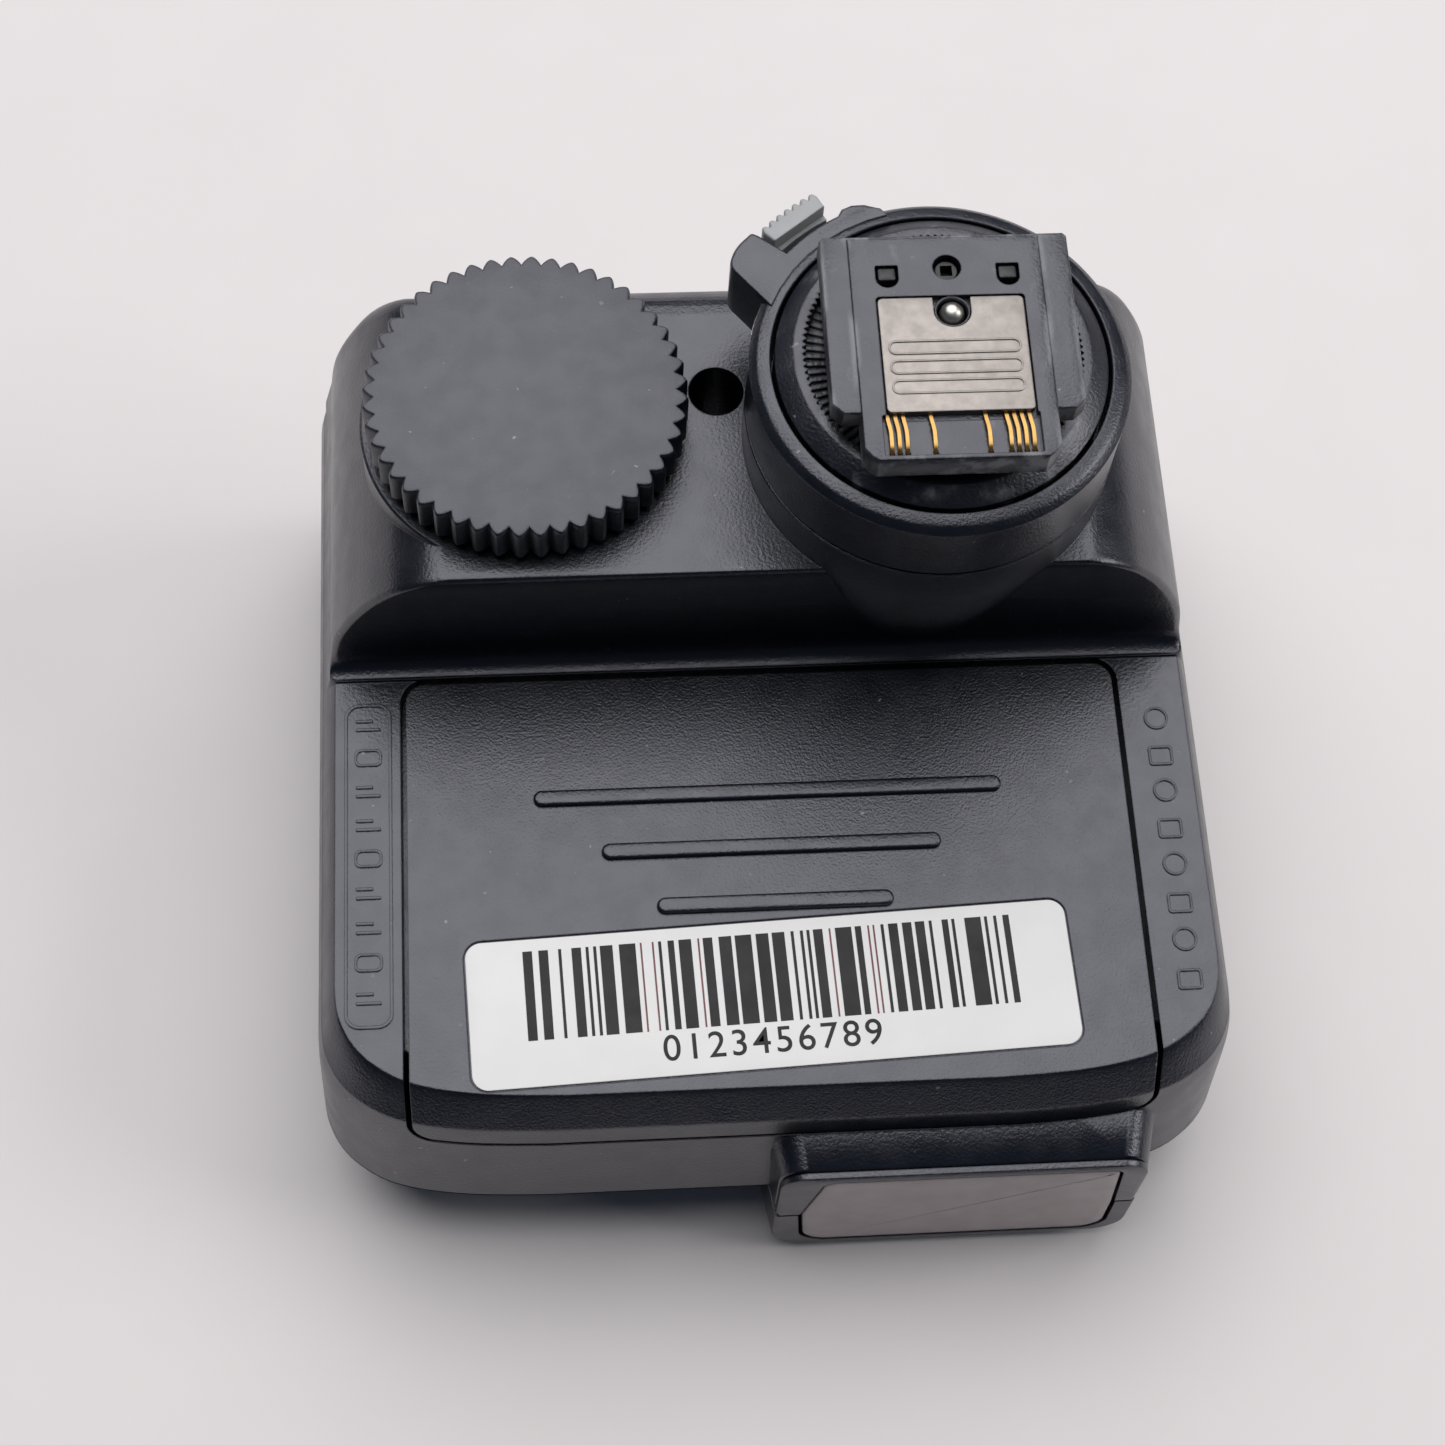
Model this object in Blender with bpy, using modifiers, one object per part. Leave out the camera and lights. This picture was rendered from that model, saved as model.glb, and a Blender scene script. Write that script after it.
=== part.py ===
"""Wireless flash trigger, lying on its display side with its shoe foot up.

Lengths below are millimetres; MM turns them into Blender's metres.
X runs to the right of the body, +Y from the lamp end to the foot end, +Z out of the battery door.
The origin is under the middle of the body, on the surface that it lies on.
"""
import math

import bmesh
import bpy
from mathutils import Matrix, Vector

MM = 0.001
GAP = 0.3            # clearance between neighbouring pieces

# heights
Z_PART = 9.35        # parting line between the two shells
Z_DOOR = 24.85       # face of the battery door
Z_HUMP = 41.11       # flat top of the block that carries the dial and the foot
Z_SPLIT = 45.3       # where the turning lock ring starts
Z_RING = 52.25       # top of the lock ring
Z_RIM = 53.35        # top of the fixed rim round the foot
Z_FOOT = 58.0        # top of the shoe foot

# body plan
BODY_HALF = 36.9
BODY_FRONT = -33.05
BODY_REAR = 36.08
CORNER_REAR = 3.0
WALL = 1.8
# full, slowly opening front corner: distance in from the side wall, distance behind the front edge
CORNER_FRONT = (
    (0.0, 9.5), (0.12, 7.9), (0.45, 6.6), (1.1, 5.2), (2.1, 3.9), (3.4, 2.8),
    (5.0, 1.85), (7.0, 1.15), (9.5, 0.65), (13.0, 0.25), (18.0, 0.03),
)

# block outline from the door face outwards: depth below the face, half width, front edge
BLOCK_PROFILE = ((0.0, 34.7, -29.2), (1.1, 35.35, -29.95), (3.0, 36.0, -31.1), (5.5, 36.5, -31.55))
# hump outline: height over the door face, half width, front edge, rear edge
HUMP_CORNER = 1.6    # plan radius of its rear corners
HUMP_PROFILE = (
    (-3.0, 35.9, 6.0, 35.95),
    (0.0, 35.2, 6.15, 35.8),
    (0.25, 35.15, 6.7, 35.77),
    (0.75, 35.05, 7.2, 35.74),
    (1.6, 34.95, 7.5, 35.7),
    (3.2, 34.7, 7.6, 35.6),
    (5.2, 34.2, 7.5, 35.45),
    (8.0, 33.1, 7.35, 35.2),
    (11.0, 31.5, 7.15, 34.95),
    (13.2, 29.9, 7.0, 34.3),
    (14.6, 28.5, 6.9, 33.4),
    (15.8, 26.6, 6.85, 31.9),
    (16.26, 25.1, 7.15, 30.2),
)

# battery door
DOOR_HALF = 29.04
DOOR_REAR = 5.81
DOOR_LIP = 19.45     # lower edge of the lip that wraps over the front
DOOR_THICK = 1.6
DOOR_CORNER = 1.6
RIDGES = ((-4.7, 18.9), (-9.45, 13.6), (-14.2, 9.4))   # y and half length of each finger ridge
RIDGE_WIDTH = 1.35
RIDGE_HEIGHT = 0.45
LABEL_CENTRE = (-0.65, -21.75)
LABEL_SIZE = (47.6, 12.0)
LABEL_ANGLE = 2.3
LABEL_SINK = 0.25

# cells: two AA cells side by side
CELL_RADIUS = 7.25
CELL_LENGTH = 50.5
CELL_Y = (-21.15, -6.0)
CELL_Z = 15.6
BAY_HALF = 28.2
BAY_FRONT = -28.7
BAY_REAR = 1.9
BAY_FLOOR = 8.0
BAY_WALL = 1.0

# shoe foot group, all turned about the collar axis
COLLAR = (13.0, 18.5)
COLLAR_R = 14.54
CHIN_R = 10.82       # foot of the cone that carries the collar over the front wall
RING_IN = 12.9
CORE_R = 12.6
RIM_R = 11.25
WELL_R = 10.6        # ribbed recess inside the rim
WELL_FLOOR = 49.0
RIBS = 72
FOOT_X = (3.77, 22.35)
FOOT_Y = (10.9, 26.0)
WING_FRONT_CUT = 0.8
WING_REAR_CUT = 0.25
BLOCK_X = (5.84, 20.15)
BLOCK_Y = (6.9, 25.7)
FLANGE = 2.0
NECK_HALF = 6.2
NECK_Y = (11.0, 25.0)
PIN = (13.2, 19.3)
FOOT_SCREW = (13.1, 23.05)
CLAW_SPREAD = 4.5
CLAW_Y = 22.35
CONTACT_X = (7.85, 8.42, 8.99, 11.01, 14.99, 16.51, 17.07, 17.62, 18.18)
CONTACT_Y = (7.9, 10.5)

# lever on the lock ring: polar places about the collar axis
LEVER_OUT = 18.2
LEVER_RECESS = 15.0
BUTTON_ANGLES = (118.5, 136.5)
BUTTON_R = (15.9, 17.9)

# select dial
DIAL = (-18.39, 20.89)
DIAL_R = 12.65
DIAL_TEETH = 48
DIAL_TOOTH = 0.75
DIAL_Z = (41.71, 45.31)
DIAL_BASE_R = 13.1   # round pad under the dial

# case screws: one in the well beside the dial, two on the ledge under the door
WELL = (-3.35, 23.05)
BAY_SCREW = (25.5, 4.1)

# lamp housing: x and height over the door face; its face leans forward towards the table
LAMP_X = (-0.5, 29.1)
LAMP_Z = (-23.4, -6.5)
LAMP_FACE = -35.65   # y of the face at the parting line
LAMP_LEAN = 0.053    # how far the face comes forward for each mm down
LAMP_FLARE = 0.9     # widening of the housing at its root
LAMP_ROOT = -30.4
LAMP_RISE = 0.85
# lens outline: corner arcs as x, height over the door face, radius, first and last angle
LENS_ARCS = (
    (4.3, -20.1, 2.3, 190, 270),
    (25.0, -20.1, 2.3, 270, 352),
    (25.9, -8.2, 0.8, 0, 90),
    (4.2, -8.6, 1.2, 90, 160),
)
LENS_SIDES = (1.7, 27.2)   # x of the lens at the parting line

# display side
SCREEN = (-20.0, 22.0, -22.0, 8.0)
GROUP_X = -27.0
GROUP_Y = (-22.7, -17.3, -11.9, -6.5, -1.1)
FUNCTION_Y = 14.5
FUNCTION_X = (-14.0, -4.0, 6.0, 16.0)
SET_BUTTON = (24.0, 25.0)
KNOB_FACE = -36.6
JACK_Y = 10.2

PALETTE = {
    "shell_black": ((0.030, 0.031, 0.034), 0.48, 0.0),
    "dial_black": ((0.024, 0.025, 0.027), 0.55, 0.0),
    "door_black": ((0.030, 0.031, 0.034), 0.46, 0.0),
    "foot_black": ((0.040, 0.040, 0.042), 0.42, 0.0),
    "plate_grey": ((0.52, 0.49, 0.47), 0.40, 1.0),
    "button_grey": ((0.30, 0.31, 0.32), 0.50, 0.0),
    "steel": ((0.62, 0.62, 0.62), 0.25, 1.0),
    "gold": ((0.83, 0.62, 0.28), 0.28, 1.0),
    "lens_smoke": ((0.21, 0.17, 0.18), 0.35, 0.0),
    "label_white": ((0.80, 0.80, 0.79), 0.45, 0.0),
    "cell_jacket": ((0.10, 0.22, 0.12), 0.40, 0.0),
    "board_green": ((0.02, 0.12, 0.06), 0.50, 0.0),
    "screen_glass": ((0.02, 0.022, 0.026), 0.10, 0.0),
    "panel_grey": ((0.35, 0.37, 0.36), 0.40, 0.0),
    "key_rubber": ((0.06, 0.06, 0.065), 0.60, 0.0),
    "lamp_red": ((0.75, 0.08, 0.06), 0.25, 0.0),
}


# ---------------------------------------------------------------- scene and materials

def clear_scene():
    for obj in list(bpy.data.objects):
        bpy.data.objects.remove(obj, do_unlink=True)


def make_collection(name, hidden):
    coll = bpy.data.collections.new(name)
    bpy.context.scene.collection.children.link(coll)
    coll.hide_render = hidden
    return coll


def material(name):
    mat = bpy.data.materials.get(name)
    if mat is None:
        colour, roughness, metallic = PALETTE[name]
        mat = bpy.data.materials.new(name)
        mat.use_nodes = True
        shader = mat.node_tree.nodes["Principled BSDF"]
        shader.inputs["Base Color"].default_value = (*colour, 1.0)
        shader.inputs["Roughness"].default_value = roughness
        shader.inputs["Metallic"].default_value = metallic
        mat.diffuse_color = (*colour, 1.0)
    return mat


clear_scene()
PARTS = make_collection("wireless_flash_trigger", False)
CUTTERS = make_collection("cutters", True)


def finish_mesh(name, bm, slot):
    """Turns a bmesh in millimetres into an object; no slot means a cutter."""
    bmesh.ops.scale(bm, vec=(MM, MM, MM), verts=bm.verts)
    if bm.faces:
        bmesh.ops.recalc_face_normals(bm, faces=bm.faces)
    mesh = bpy.data.meshes.new(name)
    bm.to_mesh(mesh)
    bm.free()
    obj = bpy.data.objects.new(name, mesh)
    if slot is None:
        CUTTERS.objects.link(obj)
        obj.hide_render = True
        obj.display_type = "WIRE"
    else:
        PARTS.objects.link(obj)
        mesh.materials.append(material(slot))
    return obj


# ---------------------------------------------------------------- shapes

def arc(cx, cy, radius, start, stop, steps):
    points = []
    for i in range(steps + 1):
        a = math.radians(start + (stop - start) * i / steps)
        points.append((cx + radius * math.cos(a), cy + radius * math.sin(a)))
    return points


def rounded(x0, x1, y0, y1, front, rear=None, steps=5):
    """Rounded rectangle, anticlockwise from its front left corner."""
    rear = front if rear is None else rear
    points = arc(x0 + front, y0 + front, front, 180, 270, steps)
    points += arc(x1 - front, y0 + front, front, 270, 360, steps)
    points += arc(x1 - rear, y1 - rear, rear, 0, 90, steps)
    points += arc(x0 + rear, y1 - rear, rear, 90, 180, steps)
    return points


def loft(name, rings, slot=None):
    """Solid through rings of equal length, each a list of (x, y, z)."""
    bm = bmesh.new()
    rows = [[bm.verts.new(p) for p in ring] for ring in rings]
    count = len(rings[0])
    for low, high in zip(rows, rows[1:]):
        for i in range(count):
            j = (i + 1) % count
            bm.faces.new((low[i], low[j], high[j], high[i]))
    bm.faces.new(rows[0])
    bm.faces.new(rows[-1])
    return finish_mesh(name, bm, slot)


def prism(name, outline, z0, z1, slot=None):
    return loft(name, [[(x, y, z) for x, y in outline] for z in (z0, z1)], slot)


def box(name, x0, x1, y0, y1, z0, z1, slot=None):
    bm = bmesh.new()
    bmesh.ops.create_cube(bm, size=1.0)
    bmesh.ops.scale(bm, vec=(x1 - x0, y1 - y0, z1 - z0), verts=bm.verts)
    centre = ((x0 + x1) / 2, (y0 + y1) / 2, (z0 + z1) / 2)
    bmesh.ops.translate(bm, vec=centre, verts=bm.verts)
    return finish_mesh(name, bm, slot)


def rod(name, start, stop, radius, slot=None, segments=32, top_radius=None):
    """Cylinder, or cone with a top_radius, from start to stop."""
    bm = bmesh.new()
    a, b = Vector(start), Vector(stop)
    bmesh.ops.create_cone(
        bm, cap_ends=True, segments=segments, radius1=radius,
        radius2=radius if top_radius is None else top_radius, depth=(b - a).length)
    turn = (b - a).to_track_quat("Z", "Y").to_matrix().to_4x4()
    bmesh.ops.transform(bm, matrix=Matrix.Translation((a + b) / 2) @ turn, verts=bm.verts)
    return finish_mesh(name, bm, slot)


def turned(name, profile, slot=None, steps=64, closed=False):
    """Turned solid about Z from a profile of (radius, height), outer side top to bottom."""
    bm = bmesh.new()
    verts = [bm.verts.new((r, 0.0, z)) for r, z in profile]
    for first, second in zip(verts, verts[1:]):
        bm.edges.new((first, second))
    if closed:
        bm.edges.new((verts[-1], verts[0]))
    obj = finish_mesh(name, bm, slot)
    screw = obj.modifiers.new("turn", "SCREW")
    screw.steps = steps
    screw.render_steps = steps
    screw.use_merge_vertices = True
    screw.merge_threshold = 0.00001
    return obj


def place(obj, x, y, z):
    obj.location = (x * MM, y * MM, z * MM)
    return obj


def set_origin(obj, x, y, z):
    """Moves the origin to a point and keeps the shape where it is."""
    obj.data.transform(Matrix.Translation((-x * MM, -y * MM, -z * MM)))
    return place(obj, x, y, z)


def combine(target, tool, operation):
    mod = target.modifiers.new(tool.name, "BOOLEAN")
    mod.operation = operation
    mod.solver = "EXACT"
    mod.object = tool


def cut(target, *tools):
    for tool in tools:
        combine(target, tool, "DIFFERENCE")


def add(target, *tools):
    for tool in tools:
        combine(target, tool, "UNION")


def soften(obj, width, segments=2, angle=40):
    mod = obj.modifiers.new("soften", "BEVEL")
    mod.width = width * MM
    mod.segments = segments
    mod.limit_method = "ANGLE"
    mod.angle_limit = math.radians(angle)


# ---------------------------------------------------------------- shells

def body_ring(half, front, rear, z):
    """Plan of the body at one height."""
    points = [(-half + dx, front + dy) for dx, dy in CORNER_FRONT]
    points += [(half - dx, front + dy) for dx, dy in reversed(CORNER_FRONT)]
    points += arc(half - CORNER_REAR, rear - CORNER_REAR, CORNER_REAR, 0, 90, 5)
    points += arc(-half + CORNER_REAR, rear - CORNER_REAR, CORNER_REAR, 90, 180, 5)
    return [(x, y, z) for x, y in points]


def block_rings(inset, bottom, top_drop=0.0):
    """Body block from its foot at bottom up to the door face, moved inwards by inset."""
    rings = [body_ring(BODY_HALF - inset, BODY_FRONT + inset, BODY_REAR - inset, bottom)]
    for depth, half, front in reversed(BLOCK_PROFILE):
        z = Z_DOOR - depth - inset - top_drop
        rings.append(body_ring(half - inset, front + inset, BODY_REAR - inset - 0.3, z))
    return rings


def hump_rings(inset):
    rings = []
    for height, half, front, rear in HUMP_PROFILE:
        z = Z_DOOR + height - (inset if height > 10 else 0.0)
        outline = rounded(-half + inset, half - inset, front + inset, rear - inset, 0.6, HUMP_CORNER)
        rings.append([(x, y, z) for x, y in outline])
    return rings


def lean(y, z):
    """Moves a place on the lamp face with the lean of the face."""
    return y - LAMP_LEAN * (Z_PART - z)


def lamp_ring(inset, y):
    """Outline of the lamp housing at its leaning face, or at a plane y behind it."""
    x0, x1 = LAMP_X[0] + inset, LAMP_X[1] - inset
    z0, z1 = Z_DOOR + LAMP_Z[0] + inset, Z_DOOR + LAMP_Z[1] - inset
    return [(x, lean(y, z), z) for x, z in rounded(x0, x1, z0, z1, 3.0, 2.4)]


def lamp_block(name, face):
    front = lamp_ring(0.0, face)
    middle = (LAMP_X[0] + LAMP_X[1]) / 2
    spread = 1.0 + LAMP_FLARE / (LAMP_X[1] - middle)
    reach = LAMP_Z[1] + Z_DOOR - Z_PART
    root = [(middle + (x - middle) * spread, LAMP_ROOT, z + LAMP_RISE * max(0.0, z - Z_PART) / reach)
            for x, y, z in front]
    block = loft(name, [root, front])
    block.modifiers.new("flat_faces", "TRIANGULATE")
    return block


def lens_outline(grow):
    """Rounded outline of the lens, widest at the parting line."""
    corners = []
    for x, z, radius, first, last in LENS_ARCS:
        corners.append(arc(x, Z_DOOR + z, radius + grow, first, last, 4))
    right, left = [(LENS_SIDES[1] + grow, Z_PART)], [(LENS_SIDES[0] - grow, Z_PART)]
    return corners[0] + corners[1] + right + corners[2] + corners[3] + left


def lens_prism(name, grow, y0, y1, slot=None):
    outline = lens_outline(grow)
    return loft(name, [[(x, lean(y, z), z) for x, z in outline] for y in (y0, y1)], slot)


def shoe_shell():
    """Shell on the foot side: body block, hump, collar base and upper lamp housing."""
    shell = loft("shoe_shell", block_rings(0.0, Z_PART - 1.0), "shell_black")
    hump = loft("hump_form", hump_rings(0.0))
    foot = Z_DOOR + 2.0
    head = Z_SPLIT - 0.1
    profile = ((0, head), (COLLAR_R, head), (COLLAR_R, Z_HUMP), (CHIN_R, foot), (0, foot))
    collar = turned("collar_form", profile)
    place(collar, *COLLAR, 0)
    pad = rod("dial_pad", (*DIAL, Z_DOOR + 4.0), (*DIAL, Z_HUMP), DIAL_BASE_R, None, 64)
    lamp = lamp_block("lamp_form_upper", LAMP_FACE + 0.9)
    add(shell, hump, pad, collar, lamp)
    cut(shell, box("shell_trim", -40, 40, -40, 40, -5, Z_PART + 0.15))

    block_hollow = loft("block_hollow", block_rings(WALL, Z_PART - 1.0))
    hump_hollow = loft("hump_hollow", hump_rings(WALL))
    bay = box("bay_form", -BAY_HALF - BAY_WALL, BAY_HALF + BAY_WALL,
              BAY_FRONT - BAY_WALL, DOOR_REAR + 1.3, BAY_FLOOR - BAY_WALL, Z_DOOR - 1.0)
    boss = rod("well_boss", (*WELL, Z_DOOR), (*WELL, Z_HUMP + 5), 3.6)
    cut(hump_hollow, bay, boss)
    cut(block_hollow, bay)
    cut(shell, block_hollow, hump_hollow)
    add(shell, bay_tray())
    cut(shell, bay_form("bay_space", 0.0, 0.8, BAY_REAR, 30))
    cut(shell, door_form("door_space", GAP, DOOR_THICK + GAP))
    cut(shell, lens_prism("lens_space_upper", GAP, -37, -30.4))
    cut(shell, rod("well_hole", (*WELL, Z_DOOR + 3.0), (*WELL, 50), 2.2))
    cut(shell, rod("well_screw_hole", (*WELL, 20), (*WELL, 35), 1.15))
    cut(shell, rod("dial_hole", (DIAL[0], DIAL[1], 35), (DIAL[0], DIAL[1], 50), 2.6))
    cut(shell, rod("collar_bore", (*COLLAR, 35), (*COLLAR, 50), 8.0))
    for side in (-1, 1):
        x, y = side * BAY_SCREW[0], BAY_SCREW[1]
        cut(shell, rod(f"bay_screw_hole_{side}", (x, y, 3), (x, y, 30), 1.15))
        cut(shell, rod(f"bay_screw_seat_{side}", (x, y, 20.6), (x, y, 30), 1.95))
    cut(shell, marking_groove())
    return shell


def bay_form(name, grow, corner, rear, top):
    """Room for the cells, with its front sloping in below them."""
    half = BAY_HALF + grow
    rings = []
    for z, front in ((BAY_FLOOR, BAY_FRONT + 3.5), (BAY_FLOOR + 3.0, BAY_FRONT), (top, BAY_FRONT)):
        outline = rounded(-half, half, front - 0.6 * grow, rear, corner, 0.3)
        rings.append([(x, y, z if z == top else z - grow / 2) for x, y in outline])
    return loft(name, rings)


def bay_tray():
    """Tub that holds the cells, moulded with the shoe shell."""
    return bay_form("bay_tub", 2 * BAY_WALL, 4.5, DOOR_REAR + 1.0, Z_DOOR - 1.2)


def marking_groove():
    """Engraved frame on the flat strip left of the door."""
    outer = prism("mark_frame", rounded(-34.0, -30.2, -23.35, 4.2, 1.2), Z_DOOR - 0.25, Z_DOOR + 1)
    inner = prism("mark_island", rounded(-33.7, -30.5, -23.05, 3.9, 0.9), Z_DOOR - 1, Z_DOOR + 2)
    cut(outer, inner)
    return outer


def door_form(name, grow, depth, slot=None):
    """Skin of the body block under the door outline, depth thick, wrapped over the front."""
    rings = block_rings(0.0, Z_PART)
    if slot is None:
        rings = [[(x * 1.03, y * 1.03, z) for x, y, z in ring] for ring in rings]
        rings.append([(x, y, Z_DOOR + 3) for x, y, z in rings[-1]])
    form = loft(name, rings, slot)
    outline = rounded(-DOOR_HALF - grow, DOOR_HALF + grow, -45, DOOR_REAR + grow, 0.5, DOOR_CORNER + grow)
    combine(form, prism(name + "_plan", outline, DOOR_LIP - grow, Z_DOOR + 2), "INTERSECT")
    face = rounded(-DOOR_HALF - grow, DOOR_HALF + grow, DOOR_LIP - grow, Z_DOOR + 9, DOOR_CORNER + grow)
    combine(form, loft(name + "_face", [[(x, y, z) for x, z in face] for y in (-50, 20)]), "INTERSECT")
    cut(form, loft(name + "_core", block_rings(depth, Z_PART - 3)))
    return form


def display_shell():
    """Shell on the display side, rounded into the face that the object lies on."""
    sections = (
        (0.0, 32.4, -28.9, 31.8),
        (0.5, 33.7, -30.0, 33.0),
        (1.6, 34.8, -30.8, 34.1),
        (3.4, 35.5, -31.3, 34.8),
        (6.0, 36.2, -31.9, 35.4),
        (Z_PART - 0.15, BODY_HALF, BODY_FRONT, BODY_REAR),
    )
    rings = [body_ring(half, front, rear, z) for z, half, front, rear in sections]
    shell = loft("display_shell", rings, "shell_black")
    lamp = lamp_block("lamp_form_lower", LAMP_FACE)
    above = box("lamp_trim_lower", -5, 33, -40, -28, Z_PART - 0.15, 30)
    cut(lamp, above)
    add(shell, lamp)
    hollow = [body_ring(half - WALL, front + WALL, rear - WALL, max(z, WALL))
              for z, half, front, rear in sections[2:]]
    hollow.append([(x, y, Z_PART + 2) for x, y, z in hollow[-1]])
    cut(shell, loft("display_hollow", hollow))
    cut(shell, lens_prism("lens_space_lower", GAP, -37, -30.8))
    add(shell, rod("well_post", (*WELL, 1.0), (*WELL, Z_DOOR - GAP), 2.7))
    cut(shell, rod("well_pilot", (*WELL, 16), (*WELL, 30), 1.15))
    for side in (-1, 1):
        x, y = side * BAY_SCREW[0], BAY_SCREW[1]
        add(shell, rod(f"bay_post_{side}", (x, y, 1.0), (x, y, 6.4), 2.4))
        cut(shell, rod(f"bay_pilot_{side}", (x, y, 2.0), (x, y, 9), 1.15))
    x0, x1, y0, y1 = SCREEN
    cut(shell, prism("screen_hole", rounded(x0 + 1.5, x1 - 1.5, y0 + 1.5, y1 - 1.5, 1.0), -1, 3))
    cut(shell, prism("screen_seat", rounded(x0, x1, y0, y1, 1.5), -1, 1.3))
    for i, y in enumerate(GROUP_Y, 1):
        x = GROUP_X
        cut(shell, prism(f"group_hole_{i}", rounded(x - 3.3, x + 3.3, y - 1.9, y + 1.9, 1.2), -1, 3))
    for i, x in enumerate(FUNCTION_X, 1):
        y = FUNCTION_Y
        cut(shell, prism(f"function_hole_{i}", rounded(x - 3.8, x + 3.8, y - 1.9, y + 1.9, 1.2), -1, 3))
    cut(shell, rod("set_hole", (*SET_BUTTON, -1), (*SET_BUTTON, 3), 4.3))
    cut(shell, box("power_slot", -40, -33, -14, -5.4, 3.6, 6.4))
    cut(shell, box("lamp_slot", -40, -33, 7, 15.6, 3.6, 6.4))
    cut(shell, prism("usb_hole", rounded(33, 40, -11.0, -1.4, 0.1), 3.0, 7.2))
    cut(shell, rod("jack_hole", (33, JACK_Y, 5), (40, JACK_Y, 5), 2.9))
    return shell


# ---------------------------------------------------------------- battery door and cells

def battery_door():
    door = door_form("battery_door", 0.0, DOOR_THICK, "door_black")
    for i, (y, half) in enumerate(RIDGES, 1):
        r = RIDGE_WIDTH / 2
        outline = rounded(-half, half, y - r, y + r, r * 0.98, None, 4)
        add(door, prism(f"ridge_{i}", outline, Z_DOOR - 0.6, Z_DOOR + RIDGE_HEIGHT))
    cut(door, label_plate("label_seat", 0.15, Z_DOOR - LABEL_SINK, Z_DOOR + 1))
    return door


def label_plate(name, grow, z0, z1, slot=None):
    half_x, half_y = LABEL_SIZE[0] / 2 + grow, LABEL_SIZE[1] / 2 + grow
    c, s = math.cos(math.radians(LABEL_ANGLE)), math.sin(math.radians(LABEL_ANGLE))
    flat = rounded(-half_x, half_x, -half_y, half_y, 1.3 + grow)
    outline = [(LABEL_CENTRE[0] + x * c - y * s, LABEL_CENTRE[1] + x * s + y * c) for x, y in flat]
    return prism(name, outline, z0, z1, slot)


def cells():
    nub = 1.0
    for name, y, flip in (("cell_front", CELL_Y[0], 1), ("cell_rear", CELL_Y[1], -1)):
        body = CELL_LENGTH - nub
        profile = ((0, CELL_LENGTH), (2.6, CELL_LENGTH), (2.75, body + 0.1), (6.9, body),
                   (CELL_RADIUS, body - 0.4), (CELL_RADIUS, 0.4), (6.9, 0), (0, 0))
        cell = turned(name, profile, "cell_jacket", 40)
        cell.rotation_euler = (0, flip * math.radians(90), 0)
        place(cell, -flip * (BAY_HALF - 4.8), y, CELL_Z)


def cell_contacts():
    half = 5.0
    left, right = -BAY_HALF + 0.25, BAY_HALF - 0.25
    z0, z1 = CELL_Z - 5.5, CELL_Z + 5.5
    box("bridge_plate", left, left + 0.4, CELL_Y[0] - half, CELL_Y[1] + half, z0, z1, "steel")
    box("plus_plate", right - 0.4, right, CELL_Y[0] - half, CELL_Y[0] + half, z0, z1, "steel")
    box("minus_plate", right - 0.4, right, CELL_Y[1] - half, CELL_Y[1] + half, z0, z1, "steel")
    coil("cell_spring_front", CELL_Y[0], left + 0.9, 1)
    coil("cell_spring_rear", CELL_Y[1], right - 0.9, -1)


def coil(name, y, x, way):
    """Conical cell spring that opens away from its plate."""
    curve = bpy.data.curves.new(name, "CURVE")
    curve.dimensions = "3D"
    curve.bevel_depth = 0.25 * MM
    curve.bevel_resolution = 2
    curve.use_fill_caps = True
    turns, per_turn, length = 3.5, 14, 3.0
    count = int(turns * per_turn)
    spline = curve.splines.new("POLY")
    spline.points.add(count)
    for i in range(count + 1):
        a = 2 * math.pi * i / per_turn
        r = 4.2 - 2.0 * i / count
        along = x + way * length * i / count
        across, height = y + r * math.cos(a), CELL_Z + r * math.sin(a)
        spline.points[i].co = (along * MM, across * MM, height * MM, 1)
    curve.materials.append(material("steel"))
    PARTS.objects.link(bpy.data.objects.new(name, curve))


# ---------------------------------------------------------------- lamp

def lamp_parts():
    lens_prism("lamp_lens", 0.0, LAMP_FACE, LAMP_FACE + 2.0, "lens_smoke")
    bezel = loft("lamp_bezel", [lamp_ring(0.1, LAMP_FACE + 0.6), lamp_ring(0.4, LAMP_FACE)], "shell_black")
    cut(bezel, lens_prism("bezel_space", GAP, -38, -33))
    cut(bezel, box("bezel_trim", -5, 33, -40, -28, -5, Z_PART + 0.15))
    led = rod("lamp_led", (14.5, -30.9, 12.3), (14.5, -32.4, 12.3), 1.8, "lamp_red", 24, 1.3)
    soften(led, 0.3)


# ---------------------------------------------------------------- boards, display, keys

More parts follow.
